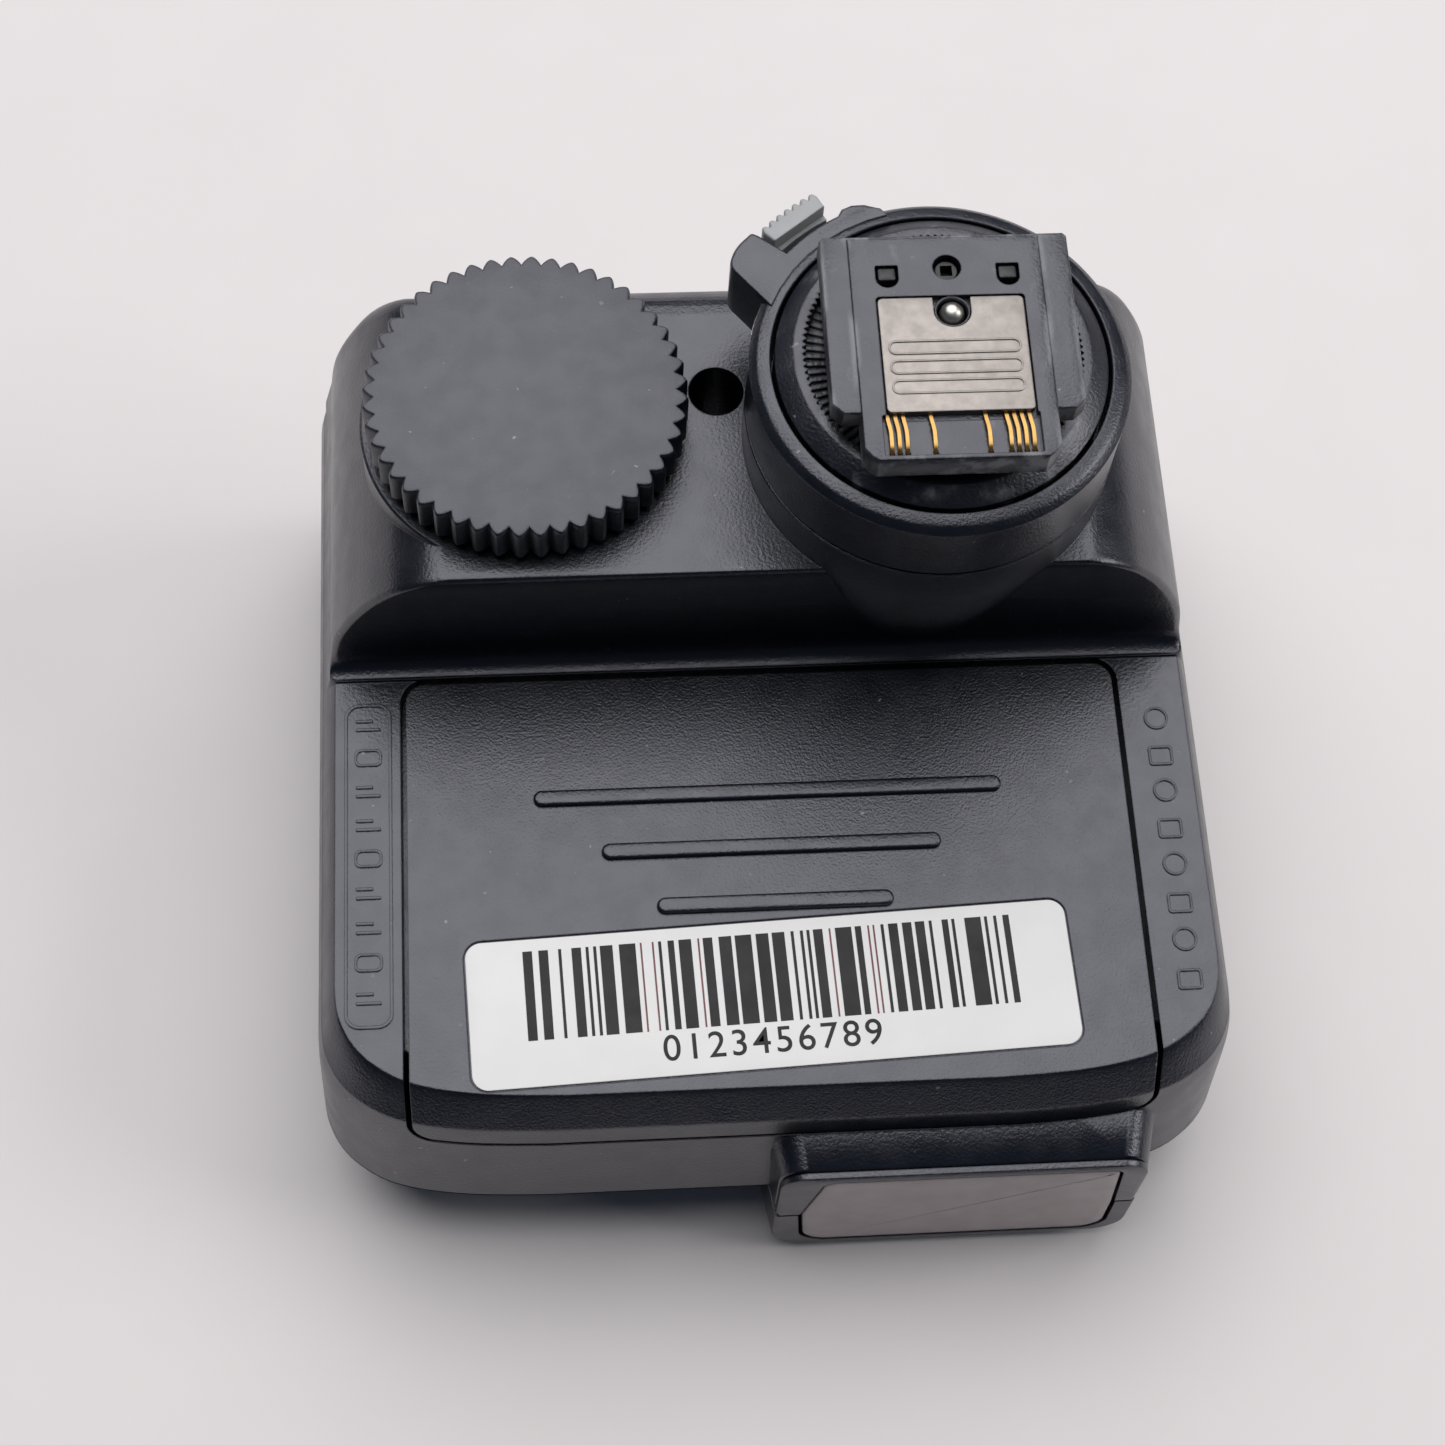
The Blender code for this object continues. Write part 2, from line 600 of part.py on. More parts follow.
def electronics():
    board = prism("main_board", rounded(-32.0, 32.0, -26.5, 31.5, 5.0, 1.0), 5.3, 6.3, "board_green")
    cut(board, rod("board_well_hole", (*WELL, 4), (*WELL, 8), 3.1))
    for side in (-1, 1):
        x, y = side * BAY_SCREW[0], BAY_SCREW[1]
        cut(board, rod(f"board_bay_hole_{side}", (x, y, 4), (x, y, 8), 2.8))
    box("radio_board", -12.0, -10.8, 10.0, 31.0, 12.0, 34.0, "board_green")
    x0, x1, y0, y1 = SCREEN
    prism("display_window", rounded(x0 + 0.3, x1 - 0.3, y0 + 0.3, y1 - 0.3, 1.2), 0.3, 1.15, "screen_glass")
    panel = box("lcd_module", x0 + 2.2, x1 - 2.2, y0 + 2.2, y1 - 2.2, 1.5, 4.4, "panel_grey")
    soften(panel, 0.3)
    socket = box("usb_socket", 29.0, 35.4, -10.7, -1.7, 3.4, 5.0 + 1.8, "steel")
    cut(socket, prism("usb_mouth", rounded(30, 40, -10.1, -2.3, 0.1), 4.0, 6.2))
    jack = rod("sync_jack", (29.0, JACK_Y, 5), (35.4, JACK_Y, 5), 2.5, "foot_black", 32)
    cut(jack, rod("jack_mouth", (30, JACK_Y, 5), (40, JACK_Y, 5), 1.35))
    cut(board, box("port_notch", 28.6, 40, -11.5, 13.2, 4, 8))


def key(name, outline, flange_outline, slot):
    """Push key: cap in the shell's hole, wider flange behind the wall, origin on its face."""
    cap = prism(name, outline, 0.35, 2.6, slot)
    add(cap, prism(name + "_flange", flange_outline, 2.1, 3.3))
    soften(cap, 0.12, 1)
    return cap


def keys():
    for i, y in enumerate(GROUP_Y, 1):
        x = GROUP_X
        cap = key(f"group_button_{i}", rounded(x - 3.0, x + 3.0, y - 1.6, y + 1.6, 1.0),
                  rounded(x - 3.9, x + 3.9, y - 2.4, y + 2.4, 1.0), "key_rubber")
        set_origin(cap, x, y, 0.35)
    for i, x in enumerate(FUNCTION_X, 1):
        y = FUNCTION_Y
        cap = key(f"function_button_{i}", rounded(x - 3.5, x + 3.5, y - 1.6, y + 1.6, 1.0),
                  rounded(x - 4.4, x + 4.4, y - 2.4, y + 2.4, 1.0), "key_rubber")
        set_origin(cap, x, y, 0.35)
    disc = rod("set_button", (*SET_BUTTON, 0.35), (*SET_BUTTON, 2.6), 4.0, "key_rubber", 40)
    add(disc, rod("set_flange", (*SET_BUTTON, 2.1), (*SET_BUTTON, 3.3), 4.9, None, 40))
    set_origin(disc, *SET_BUTTON, 0.35)


def slider(name, y, slot):
    """Slide switch knob in the left wall: ridged cap outside, foot behind the wall."""
    cap = box(name, KNOB_FACE, -33.3, y - 2.0, y + 2.0, 3.9, 6.1, slot)
    add(cap, box(name + "_foot", -33.6, -32.9, y - 2.4, y + 2.4, 3.3, 6.7))
    for i in range(-1, 2):
        cut(cap, box(f"{name}_grip_{i}", -38, KNOB_FACE + 0.3, y + i * 1.1 - 0.2, y + i * 1.1 + 0.2, 3, 7))
    set_origin(cap, KNOB_FACE, y, 5.0)


def case_screw(name, x, y, head_top, length):
    """Cross-head screw with its head up."""
    profile = ((0, 0), (1.5, 0), (1.9, -0.4), (1.9, -1.3), (0.9, -1.3),
               (0.9, -length + 0.6), (0, -length))
    screw = turned(name, profile, "steel", 28)
    place(screw, x, y, head_top)
    for i, (w, d) in enumerate(((2.0, 0.4), (0.4, 2.0))):
        cut(screw, box(f"{name}_slot_{i}", x - w / 2, x + w / 2, y - d / 2, y + d / 2,
                       head_top - 0.7, head_top + 1))


def screws():
    case_screw("case_screw_well", *WELL, Z_DOOR + 4.5, 10.0)
    for side, word in ((-1, "left"), (1, "right")):
        case_screw(f"case_screw_{word}", side * BAY_SCREW[0], BAY_SCREW[1], 22.1, 19.0)


# ---------------------------------------------------------------- dial

def dial_outline(radius):
    """Rim with rounded triangular teeth."""
    points = []
    for i in range(DIAL_TEETH * 6):
        phase = i / 6
        a = 2 * math.pi * phase / DIAL_TEETH
        dip = abs((phase % 1.0) - 0.5) * 2.0
        r = radius - DIAL_TOOTH * dip ** 1.6
        points.append((r * math.cos(a), r * math.sin(a)))
    return points


def dial():
    z0, z1 = DIAL_Z
    rings = []
    for z, radius in ((z0, DIAL_R - 0.3), (z0 + 0.3, DIAL_R), (z1 - 0.3, DIAL_R), (z1, DIAL_R - 0.3)):
        rings.append([(x, y, z - z0) for x, y in dial_outline(radius)])
    disc = loft("dial_disc", rings, "dial_black")
    place(disc, *DIAL, z0)
    cut(disc, rod("dial_socket", (*DIAL, 40), (*DIAL, 44.1), 2.0))
    shaft = rod("dial_shaft", (0, 0, 0), (0, 0, 13.6), 1.75, "steel", 24)
    place(shaft, *DIAL, 30.3)
    body = box("dial_encoder", DIAL[0] - 6, DIAL[0] + 6, DIAL[1] - 6, DIAL[1] + 6, 32.5, 38.3, "panel_grey")
    cut(body, rod("encoder_bore", (*DIAL, 30), (*DIAL, 40), 2.1))
    soften(body, 0.4)


# ---------------------------------------------------------------- lock ring and shoe foot

def polar(radius, angle, z=0.0):
    a = math.radians(angle)
    return COLLAR[0] + radius * math.cos(a), COLLAR[1] + radius * math.sin(a)


def lever_outline():
    points = [polar(13.6, 103), polar(14.3, 104.5), polar(15.1, 108.5), polar(15.4, 112), polar(15.4, 115.5)]
    points += [polar(LEVER_RECESS, a) for a in (117.3, 122, 127, 132, 137.7)]
    points += [polar(16.75, 138.1), polar(18.0, 138.6), polar(LEVER_OUT, 140.5), polar(18.3, 144)]
    points += [polar(18.2, 147), polar(17.9, 149.6), polar(17.3, 151), polar(14.3, 156), polar(13.6, 157)]
    points += [polar(13.6, a) for a in (150, 142, 134, 126, 118, 110)]
    return points


def lock_ring():
    z0 = Z_SPLIT + 0.15
    top = Z_RING - z0
    profile = ((RING_IN, top), (14.05, top), (COLLAR_R - 0.04, top - 0.9), (COLLAR_R - 0.04, 0.0),
               (11.6, 0.0), (11.6, 1.2), (RING_IN, 1.2))
    ring = turned("lock_ring", profile, "shell_black", 96, closed=True)
    place(ring, *COLLAR, z0)
    lever = prism("lever_form", lever_outline(), z0 + 1.3, Z_RING)
    soften(lever, 0.25)
    add(ring, lever)


def release_button():
    """Toothed push piece in the lever's pocket, with a lower ledge on its inner side."""
    first, last = BUTTON_ANGLES
    middle = math.radians((first + last) / 2)
    points = []
    teeth = 7
    for i in range(teeth * 4 + 1):
        a = first + (last - first) * i / (teeth * 4)
        r = BUTTON_R[1] - 0.35 * (0.5 + 0.5 * math.cos(math.pi * i / 2))
        points.append(polar(r, a))
    points += [polar(BUTTON_R[0], last - (last - first) * i / 6) for i in range(7)]
    button = prism("release_button", points, Z_SPLIT + 1.8, Z_RING - 0.3, "button_grey")
    ledge = [polar(15.0, first - 1), polar(15.0, last + 1), polar(16.45, last + 1), polar(16.45, first - 1)]
    cut(button, prism("ledge_space", ledge, Z_RING - 1.6, Z_RING + 2))
    origin = polar(BUTTON_R[1], math.degrees(middle))
    set_origin(button, *origin, (Z_SPLIT + Z_RING) / 2)


def foot_core():
    """Fixed carrier inside the ring: stem, rim cone and ribbed recess."""
    z0 = Z_SPLIT
    flange = Z_SPLIT + 0.15 + 1.2 + GAP
    profile = ((0, Z_RIM), (RIM_R, Z_RIM), (CORE_R, Z_RING), (CORE_R, flange),
               (11.2, flange), (11.2, z0), (0, z0))
    core = turned("foot_core", [(r, z - z0) for r, z in profile], "foot_black", 72)
    place(core, *COLLAR, z0)
    points = []
    for i in range(RIBS * 4):
        r = WELL_R if i % 4 in (1, 2) else WELL_R - 0.3
        points.append(polar(r, 360.0 * i / (RIBS * 4)))
    cut(core, prism("core_well", points, WELL_FLOOR, Z_RIM + 2))
    return core


def foot_block():
    """Shoe foot: neck, sliding flange and the front block with its contact recess."""
    x_mid = (BLOCK_X[0] + BLOCK_X[1]) / 2
    under = Z_FOOT - FLANGE
    neck = box("foot_block", x_mid - NECK_HALF, x_mid + NECK_HALF, NECK_Y[0], NECK_Y[1],
               WELL_FLOOR + 0.1, Z_FOOT, "foot_black")
    c = WING_FRONT_CUT
    x0, x1 = FOOT_X
    y0, y1 = FOOT_Y
    wings = [(x0 + c, y0), (x1 - c, y0), (x1, y0 + c), (x1, y1 - WING_REAR_CUT), (x1 - WING_REAR_CUT, y1),
             (x0 + WING_REAR_CUT, y1), (x0, y1 - WING_REAR_CUT), (x0, y0 + c)]
    add(neck, prism("wing_form", wings, under, Z_FOOT - 0.15))
    x0, x1 = BLOCK_X
    y0, y1 = BLOCK_Y
    n = 1.0
    front = [(x0 + n, y0), (x1 - n, y0), (x1 - n, y0 + n), (x1, y0 + n),
             (x1, y1), (x0, y1), (x0, y0 + n), (x0 + n, y0 + n)]
    add(neck, prism("block_form", front, under - 0.4, Z_FOOT))
    cut(neck, plate_form("plate_seat", 0.1, Z_FOOT - 0.6, Z_FOOT + 1, False))
    cut(neck, box("contact_recess", 7.4, 18.65, CONTACT_Y[0] - 0.2, CONTACT_Y[1] + 0.1,
                  Z_FOOT - 0.5, Z_FOOT + 1))
    cut(neck, rod("pin_bore", (*PIN, 52), (*PIN, 60), 1.25))
    cut(neck, rod("foot_screw_bore", (*FOOT_SCREW, 53), (*FOOT_SCREW, 60), 1.05))
    for side in (-1, 1):
        x = FOOT_SCREW[0] + side * CLAW_SPREAD
        hole = box(f"claw_hole_{side}", x - 0.8, x + 0.8, CLAW_Y - 0.85, CLAW_Y + 0.85, WELL_FLOOR + 1, 60)
        cut(neck, hole)
    return neck


def plate_form(name, grow, z0, z1, notched, slot=None):
    """Metal plate of the foot, with a round notch at the centre pin."""
    outline = rounded(7.7 - grow, 18.55 + grow, 10.8 - grow, 20.5 + grow, 0.3)
    plate = prism(name, outline, z0, z1, slot)
    if notched:
        cut(plate, rod(name + "_notch", (*PIN, z0 - 1), (*PIN, z1 + 1), 1.45))
        cut(plate, box(name + "_mouth", PIN[0] - 1.45, PIN[0] + 1.45, PIN[1], 22, z0 - 1, z1 + 1))
    return plate


def foot_parts():
    plate_form("foot_plate", 0.0, Z_FOOT - 0.55, Z_FOOT - 0.02, True, "plate_grey")
    profile = ((0, 5.8), (0.45, 5.68), (0.8, 5.3), (0.95, 4.8), (0.95, 0), (0, 0))
    pin = turned("centre_pin", profile, "steel", 28)
    place(pin, *PIN, 52.5)
    for i, x in enumerate(CONTACT_X, 1):
        box(f"foot_contact_{i}", x - 0.18, x + 0.18, *CONTACT_Y, Z_FOOT - 0.45, Z_FOOT - 0.12, "gold")
    screw = rod("foot_screw", (*FOOT_SCREW, 53.2), (*FOOT_SCREW, Z_FOOT - 0.5), 0.95, "steel", 28)
    cut(screw, rod("foot_screw_hex", (*FOOT_SCREW, 56.4), (*FOOT_SCREW, 60), 0.5, None, 6))
    for side, word in ((-1, "left"), (1, "right")):
        x = FOOT_SCREW[0] + side * CLAW_SPREAD
        claw = box(f"claw_{word}", x - 0.5, x + 0.5, CLAW_Y - 0.55, CLAW_Y + 0.55,
                   WELL_FLOOR + 1.3, Z_FOOT - 0.5, "steel")
        set_origin(claw, x, CLAW_Y, Z_FOOT - 0.5)


def main():
    shoe_shell()
    display_shell()
    battery_door()
    label_plate("door_label", 0.0, Z_DOOR - LABEL_SINK + 0.05, Z_DOOR - 0.02, "label_white")
    cells()
    cell_contacts()
    lamp_parts()
    electronics()
    keys()
    slider("power_switch", -11.4, "key_rubber")
    slider("lamp_switch", 9.6, "key_rubber")
    screws()
    dial()
    lock_ring()
    release_button()
    foot_core()
    foot_block()
    foot_parts()


main()
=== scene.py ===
import math
import random

import bmesh
import bpy
from mathutils import Matrix, Vector


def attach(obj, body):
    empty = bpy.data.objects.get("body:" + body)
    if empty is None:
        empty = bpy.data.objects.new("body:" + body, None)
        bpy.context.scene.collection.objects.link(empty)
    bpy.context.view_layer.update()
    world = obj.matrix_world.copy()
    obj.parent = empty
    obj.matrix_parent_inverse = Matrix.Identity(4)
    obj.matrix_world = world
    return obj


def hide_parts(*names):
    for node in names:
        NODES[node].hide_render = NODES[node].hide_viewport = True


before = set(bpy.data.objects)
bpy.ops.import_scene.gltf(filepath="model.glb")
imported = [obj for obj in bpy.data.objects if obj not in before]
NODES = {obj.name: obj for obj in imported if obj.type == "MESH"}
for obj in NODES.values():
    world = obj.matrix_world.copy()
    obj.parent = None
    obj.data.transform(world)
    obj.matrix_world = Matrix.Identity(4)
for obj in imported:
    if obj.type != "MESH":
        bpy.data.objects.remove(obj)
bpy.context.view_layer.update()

# Lengths are millimetres unless a name says otherwise; MM turns them into metres.
MM = 0.001
GAP = 0.3
WALL = 1.8
# half of the line between the two shells
SEAM = 0.15

# heights over the surface that the object lies on
Z_PART = 9.35
Z_DOOR = 24.85
Z_HUMP = 41.11
Z_SPLIT = 45.3
Z_RING = 52.25
Z_RIM = 53.35
Z_FOOT = 58.0

# body
BODY_HALF = 36.9
BODY_FRONT = -33.05
BODY_REAR = 36.08
REAR_CORNER = 3.0
FRONT_CORNER = (
    (0.0, 9.5), (0.12, 7.9), (0.45, 6.6), (1.1, 5.2), (2.1, 3.9), (3.4, 2.8),
    (5.0, 1.85), (7.0, 1.15), (9.5, 0.65), (13.0, 0.25), (18.0, 0.03),
)
# depth under the door face, half width, front edge
BLOCK = (
    (0.0, 34.7, -29.2), (0.12, 34.85, -29.38), (1.1, 35.35, -29.98), (2.95, 35.97, -31.08),
    (3.2, 36.07, -31.2), (3.6, 36.15, -31.28), (5.5, 36.5, -31.55), (10.0, 36.7, -32.24),
    (15.35, 36.9, -33.05),
)
BLOCK_STEP = 0.3
# height over the door face, half width, front edge, rear edge
HUMP = (
    (-3.0, 35.9, 6.0, 35.95), (0.0, 35.2, 6.15, 35.8), (0.08, 35.18, 6.5, 35.79), (0.2, 35.16, 6.9, 35.77),
    (0.42, 35.12, 7.3, 35.75), (0.85, 35.05, 7.65, 35.73), (1.6, 34.95, 7.88, 35.7), (3.2, 34.7, 7.95, 35.6),
    (5.2, 34.2, 7.85, 35.45), (8.0, 33.1, 7.65, 35.2), (11.0, 31.5, 7.4, 34.95), (13.2, 29.9, 7.15, 34.3),
    (14.6, 28.5, 6.95, 33.4), (15.8, 26.6, 6.85, 31.9), (16.26, 25.1, 7.05, 30.2),
)
HUMP_CORNERS = (0.6, 1.6)
# height, half width, front edge, rear edge of the display side
UNDER = (
    (0.0, 32.4, -28.9, 31.8), (0.5, 33.7, -30.0, 33.0), (1.6, 34.8, -30.8, 34.1), (3.4, 35.5, -31.3, 34.8),
    (6.0, 36.2, -31.9, 35.4), (9.2, 36.9, -33.05, 36.08),
)

# battery door and bay
DOOR_HALF = 29.04
DOOR_REAR = 5.81
DOOR_LIP = 19.45
DOOR_THICK = 1.6
DOOR_CORNER = 1.6
RIDGES = ((-4.7, 18.9), (-9.45, 13.6), (-14.2, 9.4))
RIDGE_WIDTH = 1.35
RIDGE_HEIGHT = 0.45
LABEL_CENTRE = (-0.65, -21.75)
LABEL_SIZE = (47.6, 12.0)
LABEL_ANGLE = 2.3
BAY_HALF = 28.2
BAY_FRONT = -28.7
BAY_REAR = 1.9
BAY_FLOOR = 8.0

# raised marks on the strips beside the door
MARK_Z = (Z_DOOR - 0.2, Z_DOOR + 0.12)
MARK_LINE = 0.2
MARK_FRAME = (-34.0, -30.2, -23.35, 4.2)
LEFT_MARKS = [-21.6 + i * 2.9 for i in range(9)]
RIGHT_MARKS = [-22.8 + i * 3.2 for i in range(8)]

# print on the label, in the label's own directions
BAR_X = (-19.3, 18.9)
BAR_Y = (-2.3, 5.0)
BAR_WIDTHS = (0.24, 0.24, 0.5, 0.75, 1.0, 1.3)
BAR_GAPS = (0.28, 0.36, 0.5, 0.5, 0.8)
FINE_SHARE = 0.14
FINE_WIDTH = 0.14
DIGITS_AT = (-0.4, -4.75)
DIGITS_HEIGHT = 2.2

# foot group
COLLAR = (13.0, 18.5)
COLLAR_R = 14.54
CHIN_R = 10.82
RING_IN = 12.9
RING_LIFT = 0.15
RING_LIP = 1.2
CORE_R = 12.6
RIM_R = 11.25
WELL_R = 10.6
WELL_FLOOR = 49.0
WELL_RIBS = 120
RIB_STEP_R = (8.2, 10.4)
FOOT_X = (3.77, 22.35)
FOOT_Y = (10.9, 26.0)
BLOCK_X = (5.84, 20.15)
BLOCK_Y = (6.9, 25.7)
BLOCK_CUT = 1.0
WING_CUTS = (0.8, 0.25)
PLATE_SEAT = (7.6, 18.65, 10.3, 20.6)
PLATE = (7.7, 18.55, 10.8, 20.5)
CONTACT_RECESS = (7.3, 18.8, 7.25, 10.6)
PIN = (13.2, 19.3)
SCREW = (13.1, 23.05)
CLAW_SPREAD = 4.5
CLAW_Y = 22.35
CONTACT_X = (7.85, 8.42, 8.99, 11.01, 14.99, 16.51, 17.07, 17.62, 18.18)
CONTACT_HALF = 0.18
CONTACT_THICK = 0.08
BUTTON_ANGLES = (118.5, 136.5)
BUTTON_R = (15.9, 17.9)
BUTTON_RIBS = 7

DIAL = (-18.39, 20.89)
DIAL_R = 12.65
DIAL_TEETH = 48
TOOTH_STEPS = 12
TOOTH_DEPTH = 0.75
DIAL_Z = (41.71, 45.31)
PAD_R = 13.1
WELL = (-3.35, 23.05)
BAY_SCREW = (25.5, 4.1)

# lamp housing
LAMP_X = (-0.5, 29.1)
LAMP_Z = (-23.4, -6.5)
LAMP_FACE = -35.65
LAMP_LEAN = 0.053
LAMP_FLARE = 0.9
LAMP_ROOT = -30.4
LAMP_RISE = 0.85
LAMP_CORNERS = (3.0, 2.4)
LAMP_EDGE = 0.18
# lens corners: across, height over the door face, radius, first and last angle
LENS_ARCS = (
    (4.3, -20.1, 2.3, 190, 270), (25.0, -20.1, 2.3, 270, 352),
    (25.9, -8.2, 0.8, 0, 90), (4.2, -8.6, 1.2, 90, 160),
)
LENS_SIDES = (1.7, 27.2)

# display side
SCREEN = (-20.0, 22.0, -22.0, 8.0)
GROUP_X = -27.0
GROUP_Y = (-22.7, -17.3, -11.9, -6.5, -1.1)
FUNCTION_Y = 14.5
FUNCTION_X = (-14.0, -4.0, 6.0, 16.0)
SET_BUTTON = (24.0, 25.0)
JACK_Y = 10.2
KEY_MARK_Z = (0.28, 0.36)

# studio, in metres and watts
CAMERA_LENS = 67.27
CAMERA_PLACE = (-16.62 * MM, -87.57 * MM, 225.84 * MM)
CAMERA_TURN = (24.034, -2.367, -3.179)
FLOOR_REACH = 3.0
FLOOR_FRONT = -0.09
LIGHT_AIM = (0, 0, 0.02)
OVERHEAD = {"place": (-0.05, 0.46, 0.97), "size": 1.55, "power": 14.6, "colour": (1.0, 0.985, 0.985)}
KEY = {"place": (1.0, -0.02, 0.72), "size": 0.7, "power": 4.6, "colour": (1.0, 0.985, 0.97)}
SURROUND = (0.55, 0.70, 1.0, 1.0)
SURROUND_STRENGTH = 0.06

# gloss of the moulded plastics; the blue of the gloss tint is a painted cool sky reflection
PLASTIC_SPECULAR = 1.05
PLASTIC_COOL_SHEEN_TINT = (0.90, 0.91, 1.0, 1.0)


# ---------------------------------------------------------------- camera and light

def make_camera():
    data = bpy.data.cameras.new("camera")
    data.lens = CAMERA_LENS
    data.sensor_width = 36.0
    data.clip_start = 0.01
    data.clip_end = 10.0
    camera = bpy.data.objects.new("camera", data)
    camera.location = CAMERA_PLACE
    camera.rotation_euler = [math.radians(a) for a in CAMERA_TURN]
    bpy.context.scene.collection.objects.link(camera)
    bpy.context.scene.camera = camera


def area_light(name, place, size, power, colour):
    data = bpy.data.lights.new(name, "AREA")
    data.shape = "DISK"
    data.size = size
    data.energy = power
    data.color = colour
    light = bpy.data.objects.new(name, data)
    light.location = place
    light.rotation_euler = (Vector(LIGHT_AIM) - Vector(place)).to_track_quat("-Z", "Y").to_euler()
    bpy.context.scene.collection.objects.link(light)


def make_floor():
    """Pale sheet under the object. It ends in front of it, so the front slopes reflect a dark room."""
    bm = bmesh.new()
    corners = ((-FLOOR_REACH, FLOOR_FRONT), (FLOOR_REACH, FLOOR_FRONT),
               (FLOOR_REACH, FLOOR_REACH), (-FLOOR_REACH, FLOOR_REACH))
    bm.faces.new([bm.verts.new((x, y, 0.0)) for x, y in corners])
    mesh = bpy.data.meshes.new("floor")
    bm.to_mesh(mesh)
    bm.free()
    floor = bpy.data.objects.new("floor", mesh)
    floor.location.z = -0.0001
    bpy.context.scene.collection.objects.link(floor)
    graph = Graph("floor_paper", (0.80, 0.765, 0.76), 0.75)
    graph.vary_colour(40.0, 0.004)
    graph.grain(1800.0, 0.04)
    mesh.materials.append(graph.mat)


def make_studio():
    world = bpy.data.worlds.new("studio")
    world.use_nodes = True
    bpy.context.scene.world = world
    background = world.node_tree.nodes["Background"]
    background.inputs["Color"].default_value = SURROUND
    background.inputs["Strength"].default_value = SURROUND_STRENGTH
    area_light("overhead", **OVERHEAD)
    area_light("key", **KEY)
    bpy.context.scene.view_settings.view_transform = "Standard"


# ---------------------------------------------------------------- materials

class Graph:
    """A Principled material with layered procedural detail, in the object's own coordinates."""

    def __init__(self, name, colour, roughness, metallic=0.0, specular=0.5):
        self.mat = bpy.data.materials.new(name)
        self.mat.use_nodes = True
        self.tree = self.mat.node_tree
        self.shader = self.tree.nodes["Principled BSDF"]
        self.shader.inputs["Metallic"].default_value = metallic
        self.shader.inputs["Specular IOR Level"].default_value = specular
        self.shader.inputs["Roughness"].default_value = roughness
        self.shader.inputs["Base Color"].default_value = (*colour, 1.0)
        self.place = self.tree.nodes.new("ShaderNodeTexCoord").outputs["Object"]
        self.colour = None
        self.base = (*colour, 1.0)
        self.normal = None

    def node(self, kind, **settings):
        made = self.tree.nodes.new(kind)
        for key, value in settings.items():
            setattr(made, key, value)
        return made

    def noise(self, scale, detail=3.0, stretch=None):
        made = self.node("ShaderNodeTexNoise")
        made.inputs["Scale"].default_value = scale
        made.inputs["Detail"].default_value = detail
        vector = self.place
        if stretch:
            mapping = self.node("ShaderNodeMapping")
            mapping.inputs["Scale"].default_value = stretch
            self.tree.links.new(vector, mapping.inputs["Vector"])
            vector = mapping.outputs["Vector"]
        self.tree.links.new(vector, made.inputs["Vector"])
        return made.outputs["Fac"]

    def remap(self, value, low, high, to_low, to_high):
        made = self.node("ShaderNodeMapRange", interpolation_type="SMOOTHSTEP")
        for i, number in enumerate((low, high, to_low, to_high), 1):
            made.inputs[i].default_value = number
        self.tree.links.new(value, made.inputs[0])
        return made.outputs[0]

    def maths(self, operation, first, second):
        made = self.node("ShaderNodeMath", operation=operation)
        for socket, value in zip(made.inputs, (first, second)):
            if isinstance(value, (int, float)):
                socket.default_value = value
            else:
                self.tree.links.new(value, socket)
        return made.outputs[0]

    def tint(self, factor, colour):
        """Lays a colour over the present one where factor says so."""
        mix = self.node("ShaderNodeMix", data_type="RGBA")
        if self.colour is None:
            mix.inputs["A"].default_value = self.base
        else:
            self.tree.links.new(self.colour, mix.inputs["A"])
        mix.inputs["B"].default_value = (*colour, 1.0)
        self.tree.links.new(factor, mix.inputs["Factor"])
        self.colour = mix.outputs["Result"]
        self.tree.links.new(self.colour, self.shader.inputs["Base Color"])
        return self

    def vary_colour(self, scale, amount):
        low = tuple(c * (1.0 - 2.5 * amount) for c in self.base[:3])
        high = tuple(min(1.0, c * (1.0 + 2.5 * amount)) for c in self.base[:3])
        self.tint(self.remap(self.noise(scale), 0.35, 0.65, 0.0, 1.0), low)
        return self.tint(self.remap(self.noise(scale * 2.7), 0.45, 0.75, 0.0, 0.6), high)

    def vary_roughness(self, scale, low, high):
        value = self.remap(self.noise(scale, 4.0), 0.3, 0.7, low, high)
        self.tree.links.new(value, self.shader.inputs["Roughness"])
        return self

    def grain(self, scale, strength, depth=0.02):
        bump = self.node("ShaderNodeBump")
        bump.inputs["Strength"].default_value = strength
        bump.inputs["Distance"].default_value = depth * MM
        self.tree.links.new(self.noise(scale, 2.0), bump.inputs["Height"])
        if self.normal is not None:
            self.tree.links.new(self.normal, bump.inputs["Normal"])
        self.normal = bump.outputs["Normal"]
        self.tree.links.new(self.normal, self.shader.inputs["Normal"])
        return self

    def round_edges(self, radius):
        bevel = self.node("ShaderNodeBevel", samples=4)
        bevel.inputs["Radius"].default_value = radius * MM
        self.normal = bevel.outputs["Normal"]
        return self

    def dust(self, amount, colour=(0.35, 0.35, 0.34)):
        """Sparse pale specks and a few lint-like dots."""
        specks = self.remap(self.noise(1400.0, 1.0), 0.76 - 0.03 * amount, 0.82, 0.0, 0.7)
        patches = self.remap(self.noise(90.0, 2.0), 0.42, 0.62, 0.15, 1.0)
        return self.tint(self.maths("MULTIPLY", specks, patches), colour)

    def band(self, axis, centre, width):
        """1 on a plane across one axis, fading out over width."""
        split = self.node("ShaderNodeSeparateXYZ")
        self.tree.links.new(self.place, split.inputs[0])
        off = self.maths("ABSOLUTE", self.maths("SUBTRACT", split.outputs[axis], centre * MM), 0.0)
        return self.remap(off, 0.15 * width * MM, width * MM, 1.0, 0.0)


